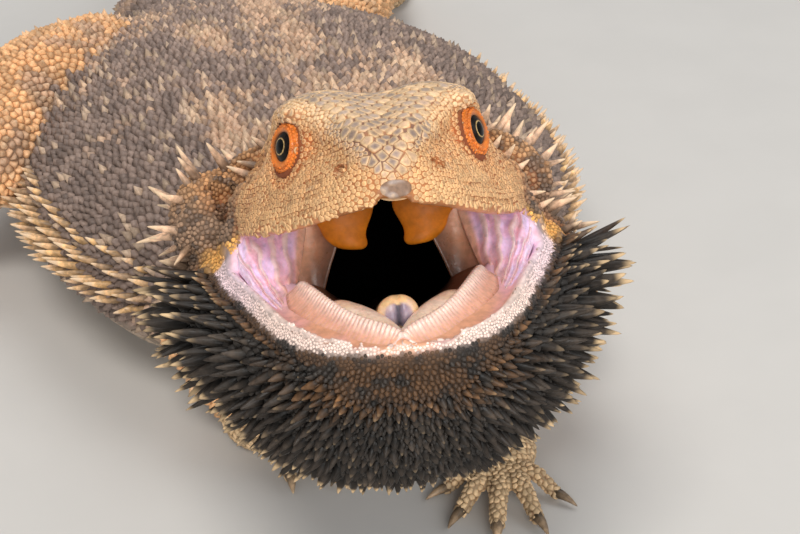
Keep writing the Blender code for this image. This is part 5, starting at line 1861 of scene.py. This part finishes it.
def build_pad(side, name, material):
    """The lilac muscle at the side of the open mouth, with upright folds and painted highlights on their
    crests, out to the mouth's corner.
    """
    columns, rows = 96, 60
    lines = PAD_TOP, PAD_MIDDLE, PAD_BOTTOM
    top, middle, bottom = (smooth_path(line, np.ones(4), columns)[0][None] for line in lines)
    u = np.linspace(0, 1, columns)[None] + np.zeros((rows, 1))
    v = np.linspace(0, 1, rows)[:, None] + np.zeros((1, columns))
    t = v[..., None]
    grid = top * (1 - t) * (1 - 2 * t) + middle * 4 * t * (1 - t) + bottom * t * (2 * t - 1)
    wander = 0.16 * (noise(grid.reshape(-1, 3) * (1, 1, 0.45), 2.4, 61).reshape(rows, columns) - 0.5)
    folds = 0.40 * np.cos(2 * np.pi * (u + wander) * PAD_FOLDS) * ease(0.05, 0.2, u) * ease(0.98, 0.80, u)
    full = 1.8 * np.sin(np.pi * np.clip(1.45 * v, 0, 1)) ** 0.8 * np.sin(np.pi * np.clip(u, 0, 1)) ** 0.7
    creases = [0.8 * np.exp(-(((u + 0.5 * wander - at) / 0.022) ** 2)) for at in (0.60, 0.78)]
    forward = full + (folds - sum(creases)) * ease(1.0, 0.7, v)
    forward = forward - 0.9 * ease(0.85, 1.0, v)
    front = grid + np.stack([0.15 * forward, -0.85 * forward, (0.1 + 0.5 * v) * forward], -1)
    back = grid + np.array((0, 1.4, 0))
    u, wander = u.reshape(-1), wander.reshape(-1)
    v = v.reshape(-1)
    flat = front.reshape(-1, 3)
    grain, cloud = noise(flat, 0.9, 62), noise(flat, 2.6, 63)
    ridge = np.cos(2 * np.pi * (u + wander) * PAD_FOLDS) * 0.5 + 0.5
    rim = np.maximum(ease(0.16, 0.05, u), ease(0.55, 1.0, v) * ease(0.9, 0.4, u))
    tint = layered(
        "lilac",
        (colour("pink") * 1.05, ease(0.45, 0.75, cloud) * 0.6),
        # Painted highlight: pale along the crest of each fold
        ("lip_white", 0.75 * ease(0.5, 0.8, ridge)),
        ("pink", ease(0.35, 0.75, v) * ease(0.60, 0.25, u) * 0.7),
        ("peach", rim * 0.85),
        ("pad_corner", ease(0.78, 0.88, u) * ease(0.9, 0.5, v) * 0.9))
    for at in (0.60, 0.78):
        tint = blend(tint, colour("pink") * 0.85, 0.75 * np.exp(-(((u + 0.5 * wander - at) / 0.026) ** 2)))
    tint = blend(tint, tint * 0.82, ease(0.6, 0.85, grain))
    tint = blend(tint, colour("corner"), ease(0.95, 0.99, u + 0.1 * wander) * ease(0.35, 0.15, v))
    body = np.concatenate([front, back[:, ::-1]], axis=1) * np.array((side, 1, 1))
    shades = tint.reshape(rows, columns, 3)
    add_ringed(name, body, head_place, np.concatenate([shades, shades[:, ::-1]], 1).reshape(-1, 3), material)


def build_rostral(material):
    """The oval plate at the tip of the snout."""
    rows, columns = 12, 40
    turn = all_round(columns)
    across = np.abs(np.cos(turn)) ** 0.85 * np.sign(np.cos(turn))
    up = np.abs(np.sin(turn)) ** 0.9 * np.sign(np.sin(turn))
    points = []
    for share in np.linspace(0, 1, rows):
        x, z = 3.05 * share * across, 1.0 + 1.7 * share * up
        y = -56.45 + 0.05 * x**2 + 0.05 * (z - 1.8) ** 2 + 1.5 * ease(0.72, 1.0, share)
        points.append(np.stack([x + 0.5, y + 0 * x, z], -1))
    mesh = make_mesh("rostral_plate", head_place.out(np.concatenate(points)), [grid_faces(rows, columns)])
    welded(mesh, 1e-6)
    local = head_place.into(mesh_points(mesh))
    share = np.hypot((local[:, 0] - 0.5) / 3.05, (local[:, 2] - 1.0) / 1.7)
    tint = blend(colour("rostral"), colour("crown_grey") * 1.1, ease(0.35, 0.7, noise(local, 1.1, 95)))
    tint = blend(tint, colour("crown") * 0.8, ease(0.62, 0.85, noise(local, 0.8, 96)) * 0.5)
    add_values(mesh, "tint", blend(tint, colour("face") * 0.85, ease(0.70, 1.0, share) * 0.8))
    # The rim's low edge value gives the plate the painted crease shade of its material
    add_values(mesh, "edge", 1 - 0.7 * ease(0.86, 1.0, share))
    add_values(mesh, "tone", np.full(len(local), 0.5))
    add_piece("rostral_plate", mesh, material)


def build_claws(material):
    roots, ways, widths = [], [], []
    for side, joints in LIMBS.items():
        outer = 1 if side == "left" else -1
        for last, kind in (("hand", HAND), ("foot", FOOT)):
            *_, toes = toe_paths(*joints[last], outer, kind)
            for *_, tip, way, radius in toes:
                roots.append(tip + way * radius * 0.2 + np.array((0, 0, 0.3)))
                ways.append(way + np.array((0, 0, 0.12)))
                widths.append(radius * 1.25)
    roots, ways, widths = np.array(roots), np.array(ways), np.array(widths)
    count = len(roots)
    up = np.tile((0.0, 0.0, 1.0), (count, 1))
    bends, tint = (np.tile(row, (count, 1)) for row in ((0, 0, -0.34), COLOURS["claw"]))
    mesh = spine_mesh("claws", roots, up, ways, bends, np.full(count, CLAW), widths,
                      np.full(count, 0.9), tint, roots[:, :2] / 600 + 0.5)
    add_piece("claws", mesh, material)


# Materials
def new_material(name):
    made = bpy.data.materials.new(name)
    made.use_nodes = True
    return made, made.node_tree, made.node_tree.nodes["Principled BSDF"]


def link(tree, source, target):
    tree.links.new(source, target)


def attribute(tree, name):
    made = tree.nodes.new("ShaderNodeAttribute")
    made.attribute_name = name
    return made


def noise_node(tree, scale, detail=3.0, rough=0.55):
    """Noise in the model's own space, with bumps about one over scale in metres."""
    place = tree.nodes.new("ShaderNodeTexCoord")
    made = tree.nodes.new("ShaderNodeTexNoise")
    made.inputs["Scale"].default_value = scale
    made.inputs["Detail"].default_value = detail
    made.inputs["Roughness"].default_value = rough
    link(tree, place.outputs["Object"], made.inputs["Vector"])
    return made.outputs["Fac"]


def ranged(tree, value, low, high, to_low, to_high):
    made = tree.nodes.new("ShaderNodeMapRange")
    made.interpolation_type = "SMOOTHSTEP"
    link(tree, value, made.inputs["Value"])
    for key, number in (("From Min", low), ("From Max", high), ("To Min", to_low), ("To Max", to_high)):
        made.inputs[key].default_value = number
    return made.outputs["Result"]


def mixed(tree, share, a, b, kind="MIX"):
    made = tree.nodes.new("ShaderNodeMix")
    made.data_type, made.blend_type = "RGBA", kind
    for socket, value in ((made.inputs["Factor"], share), (made.inputs[6], a), (made.inputs[7], b)):
        if hasattr(value, "is_output"):
            link(tree, value, socket)
        elif isinstance(value, (int, float)):
            socket.default_value = value
        else:
            socket.default_value = (*value, 1.0)
    return made.outputs[2]


def bumped(tree, shader, height, strength, distance):
    made = tree.nodes.new("ShaderNodeBump")
    made.inputs["Strength"].default_value = strength
    made.inputs["Distance"].default_value = distance
    link(tree, height, made.inputs["Height"])
    link(tree, made.outputs["Normal"], shader.inputs["Normal"])


def scaled(tree, colour_socket, factor):
    """A colour made lighter or darker by a factor."""
    made = tree.nodes.new("ShaderNodeHueSaturation")
    link(tree, colour_socket, made.inputs["Color"])
    link(tree, factor, made.inputs["Value"])
    return made.outputs["Color"]


def scale_material(name, crease_tint_and_painted_shade, edge_colour=None, contrast=(0.72, 1.22)):
    """Dry scales: darker towards each scale's sunk rim, partly dark skin and partly painted shade in the
    creases, mottled, each a little lighter or darker than its neighbours.
    """
    made, tree, shader = new_material(name)
    tint = attribute(tree, "tint").outputs["Color"]
    edge = attribute(tree, "edge").outputs["Fac"]
    tone = attribute(tree, "tone").outputs["Fac"]
    shade = scaled(tree, tint, ranged(tree, tone, 0, 1, *contrast))
    if edge_colour is not None:
        pale = mixed(tree, 0.6, shade, edge_colour)
        shade = mixed(tree, ranged(tree, edge, 0.45, 0.95, 0.0, 1.0), pale, shade)
    fine = noise_node(tree, 1400)
    shade = scaled(tree, shade, ranged(tree, fine, 0.3, 0.7, 0.82, 1.16))
    # Painted shade, partly the darker skin between scales: the colour is multiplied by the crease colour
    # towards the sunk rim
    crease = mixed(tree, 1.0, shade, crease_tint_and_painted_shade, "MULTIPLY")
    shade = mixed(tree, ranged(tree, edge, 0.0, 0.3, 0.0, 1.0), crease, shade)
    link(tree, shade, shader.inputs["Base Color"])
    link(tree, ranged(tree, noise_node(tree, 900), 0.3, 0.7, 0.5, 0.72), shader.inputs["Roughness"])
    bumped(tree, shader, noise_node(tree, 3200, 2.0), 0.35, 0.00012)
    return made


def spine_material(name, tip, tip_from, root_dark_and_painted_shade=0.5, shine=0.4):
    """Horny spines: dark at the root, partly their own colour and partly painted shade, streaked lengthwise,
    pale at the tip.
    """
    made, tree, shader = new_material(name)
    tint = attribute(tree, "tint").outputs["Color"]
    along = attribute(tree, "along").outputs["Fac"]
    tone = attribute(tree, "tone").outputs["Fac"]
    tipped = attribute(tree, "pale").outputs["Fac"]
    # Darker towards the root: partly the spine's own colour and partly painted shade where the spines crowd
    shade = scaled(tree, tint, ranged(tree, along, 0.0, 0.75, root_dark_and_painted_shade, 1.6))
    shade = scaled(tree, shade, ranged(tree, tone, 0, 1, 0.65, 1.4))
    fine = noise_node(tree, 900)
    shade = scaled(tree, shade, ranged(tree, fine, 0.3, 0.7, 0.7, 1.4))
    reach = tree.nodes.new("ShaderNodeMath")
    reach.operation = "MULTIPLY_ADD"
    link(tree, tone, reach.inputs[0])
    reach.inputs[1].default_value = 0.22
    link(tree, along, reach.inputs[2])
    pale = ranged(tree, reach.outputs[0], tip_from, tip_from + 0.22, 0.0, 1.0)
    share = tree.nodes.new("ShaderNodeMath")
    share.operation = "MULTIPLY"
    link(tree, pale, share.inputs[0])
    link(tree, tipped, share.inputs[1])
    shade = mixed(tree, share.outputs[0], shade, tip)
    link(tree, shade, shader.inputs["Base Color"])
    link(tree, ranged(tree, fine, 0.3, 0.7, 0.34, 0.55), shader.inputs["Roughness"])
    shader.inputs["Specular IOR Level"].default_value = shine
    bumped(tree, shader, noise_node(tree, 2200, 2.0), 0.3, 0.00012)
    return made


def skin_material():
    """Dry skin between the scales and wet skin in the mouth, by the wet attribute."""
    made, tree, shader = new_material("dragon_skin")
    tint = attribute(tree, "tint").outputs["Color"]
    wet = attribute(tree, "wet").outputs["Fac"]
    fine = noise_node(tree, 700)
    shade = scaled(tree, tint, ranged(tree, fine, 0.3, 0.7, 0.86, 1.12))
    link(tree, shade, shader.inputs["Base Color"])
    link(tree, ranged(tree, wet, 0, 1, 0.75, 0.30), shader.inputs["Roughness"])
    bumped(tree, shader, noise_node(tree, 1100), 0.35, 0.00025)
    return made


def wet_material(name, translucent=0.25, rough=0.28, shine=0.5):
    made, tree, shader = new_material(name)
    tint = attribute(tree, "tint").outputs["Color"]
    fine = noise_node(tree, 800)
    shade = scaled(tree, tint, ranged(tree, fine, 0.3, 0.7, 0.88, 1.12))
    link(tree, shade, shader.inputs["Base Color"])
    uneven = ranged(tree, noise_node(tree, 500), 0.3, 0.7, rough - 0.06, rough + 0.12)
    link(tree, uneven, shader.inputs["Roughness"])
    shader.inputs["Specular IOR Level"].default_value = shine
    shader.inputs["Subsurface Weight"].default_value = translucent
    shader.inputs["Subsurface Radius"].default_value = (1.0, 0.45, 0.3)
    shader.inputs["Subsurface Scale"].default_value = 0.0015
    bumped(tree, shader, noise_node(tree, 1300), 0.3, 0.0002)
    return made


def eye_material():
    """A black pupil with a thin gold ring in a dark iris, under a glossy surface."""
    made, tree, shader = new_material("eye")
    tilt = attribute(tree, "tilt").outputs["Fac"]
    ramp = tree.nodes.new("ShaderNodeValToRGB")
    ramp.color_ramp.elements[0].position = 0.0
    stops = ((0.0, (0.002, 0.002, 0.002)), (0.225, (0.002, 0.002, 0.002)), (0.242, (0.50, 0.36, 0.16)),
             (0.262, (0.30, 0.18, 0.07)), (0.285, (0.012, 0.009, 0.007)), (0.42, (0.007, 0.005, 0.004)),
             (0.50, (0.003, 0.002, 0.002)))
    ramp.color_ramp.elements[1].position = stops[1][0]
    for position, _ in stops[2:]:
        ramp.color_ramp.elements.new(position)
    for element, (position, shade) in zip(ramp.color_ramp.elements, stops):
        element.position, element.color = position, (*shade, 1.0)
    link(tree, tilt, ramp.inputs["Fac"])
    fine = noise_node(tree, 2500)
    link(tree, scaled(tree, ramp.outputs["Color"], ranged(tree, fine, 0.3, 0.7, 0.6, 1.5)),
         shader.inputs["Base Color"])
    shader.inputs["Roughness"].default_value = 0.22
    shader.inputs["Specular IOR Level"].default_value = 0.1
    shader.inputs["Coat Weight"].default_value = 0.06
    shader.inputs["Coat Roughness"].default_value = 0.04
    return made


def plain_material(name, shade, rough, shine=0.5):
    made, tree, shader = new_material(name)
    fine = noise_node(tree, 30, 4.0)
    colour_socket = mixed(tree, ranged(tree, fine, 0.3, 0.7, 0.0, 1.0), [c * 0.97 for c in shade], shade)
    link(tree, colour_socket, shader.inputs["Base Color"])
    shader.inputs["Roughness"].default_value = rough
    shader.inputs["Specular IOR Level"].default_value = shine
    return made


# Stage
CAMERA_PLACE = (-115.9, -401.7, 241.7)
CAMERA_TURN, CAMERA_FALL = 19.94, 30.57
CAMERA_LENS = 85.5


def build_stage():
    mesh = bpy.data.meshes.new("floor")
    size = 3.0
    corners = [(x * size, y * size, 0) for x, y in ((-1, -1), (1, -1), (1, 1), (-1, 1))]
    mesh.from_pydata(corners, [], [(0, 1, 2, 3)])
    floor = bpy.data.objects.new("floor", mesh)
    bpy.context.scene.collection.objects.link(floor)
    mesh.materials.append(plain_material("floor", (0.60, 0.58, 0.55), 0.85))


def add_light(name, place, target, size, power, shade=(1, 1, 1)):
    data = bpy.data.lights.new(name, "AREA")
    data.shape, data.size, data.energy, data.color = "DISK", size, power, shade
    light = bpy.data.objects.new(name, data)
    light.location = place
    light.rotation_euler = (Vector(target) - Vector(place)).to_track_quat("-Z", "Y").to_euler()
    bpy.context.scene.collection.objects.link(light)


def build_lights_and_camera():
    target = (-0.01, -0.08, 0.05)
    add_light("key", (-0.40, -0.60, 1.15), target, 0.5, 7.8, (1.0, 0.97, 0.93))
    add_light("front", (-0.15, -1.1, 0.42), target, 0.7, 6.9, (1.0, 0.98, 0.96))
    add_light("fill", (0.9, -0.55, 0.7), target, 0.9, 2.6, (0.95, 0.97, 1.0))
    add_light("back", (0.2, 0.5, 1.1), target, 0.8, 4.6)
    world = bpy.data.worlds.new("studio")
    world.use_nodes = True
    world.node_tree.nodes["Background"].inputs["Color"].default_value = (0.93, 0.96, 1.0, 1)
    world.node_tree.nodes["Background"].inputs["Strength"].default_value = 0.32
    bpy.context.scene.world = world
    turn, fall = math.radians(CAMERA_TURN), math.radians(CAMERA_FALL)
    ahead = Vector((math.sin(turn) * math.cos(fall), math.cos(turn) * math.cos(fall), -math.sin(fall)))
    data = bpy.data.cameras.new("camera")
    data.sensor_width, data.lens = 36.0, CAMERA_LENS
    data.clip_start = 0.01
    camera = bpy.data.objects.new("camera", data)
    bpy.context.scene.collection.objects.link(camera)
    camera.matrix_world = (Matrix.Translation(Vector(CAMERA_PLACE) * MM)
                           @ ahead.to_track_quat("-Z", "Y").to_matrix().to_4x4())
    bpy.context.scene.camera = camera
    bpy.context.scene.view_settings.view_transform = "Standard"


def main():
    materials = {
        "scales": scale_material("scales", (0.38, 0.28, 0.22)),
        "scales_head": scale_material("plates", (0.60, 0.34, 0.20), COLOURS["crown_edge"], (0.74, 1.22)),
        "scales_lip": scale_material("lip_grains", (0.86, 0.72, 0.68), None, (0.88, 1.08)),
        "beard": spine_material("beard_spine", COLOURS["tip"], 0.82, 0.22, 0.25),
        "pale": spine_material("pale_spine", COLOURS["cream"], 0.7, 0.6),
        "wet": wet_material("mouth_lining"),
        "tongue": wet_material("tongue_skin"),
        "lobe": wet_material("lobe_skin", 0.15, 0.52, 0.25),
        "lid": scale_material("lid", (0.45, 0.26, 0.16)),
        "claw": spine_material("claw", (0.5, 0.38, 0.24), 1.0),
        # Painted shadow: near black and without shine, for the throat's sheet
        "throat": plain_material("throat", (0.002, 0.0015, 0.0015), 1.0, 0.0),
        "eye": eye_material(),
    }
    forms = Forms()
    add_trunk(forms)
    add_tail(forms)
    add_neck(forms)
    add_head_forms(forms)
    add_limbs(forms)
    mesh = build_skin_mesh(forms)
    points, edges = shaped_skin(mesh)
    at = Surface(forms, mesh, points, edges)
    kind = kinds_on(at)
    dry = averaged((~at.inside).astype(float), edges, 2)
    points = points - at.normals * ((COAT_DEPTH + relief(at)) * dry)[:, None]
    points[:, 2] = np.maximum(points[:, 2], FLOOR_GAP + 0.3)
    set_points(mesh, points)
    at.points, at.normals = points, unit(averaged(mesh_normals(mesh), edges, 2))
    # Painted shade, partly the darker skin of the creases: the skin showing between the scales gets the
    # coat's colour darkened, to half on the body and warmer on the head
    tint = coat_tint(at) * blend(np.array((0.5, 0.5, 0.5)), np.array((0.72, 0.52, 0.42)), at.of("head") * 1.0)
    tint = blend(tint, mouth_tint(at), averaged(at.inside.astype(float), edges, 2))
    add_values(mesh, "tint", averaged(tint, edges, 2))
    add_values(mesh, "wet", 1 - dry)
    mesh.shade_smooth()
    flesh = [n for n in frame["nodes"] if not n.startswith(("eye", "tongue"))]
    add_piece("skin", mesh, skin_material(), flesh)
    finder = BVHTree.FromPolygons([tuple(p) for p in points], [tuple(p.vertices) for p in mesh.polygons])
    found = build_coat(mesh, at, kind, materials, finder)
    build_beard(found, materials["beard"])
    build_flank_spines(finder, materials["pale"])
    build_nape_spines(finder, materials["pale"])
    for side, word in ((1, "left"), (-1, "right")):
        build_eye(side, f"eye_{word}", materials["eye"])
        build_lids(side, f"lids_{word}", materials["wet"], materials["lid"])
        build_gums(side, f"gum_{word}", materials["wet"])
        build_fold(side, f"floor_fold_{word}", materials["wet"])
        build_pad(side, f"jaw_muscle_{word}", materials["wet"])
        build_lobe(side, f"palate_lobe_{word}", materials["lobe"])
        build_curtain(side, f"throat_wall_{word}", materials["wet"])
    build_throat(materials["throat"])
    build_tongue(materials["tongue"])
    build_rostral(materials["scales_head"])
    build_claws(materials["claw"])
    build_stage()
    build_lights_and_camera()


main()
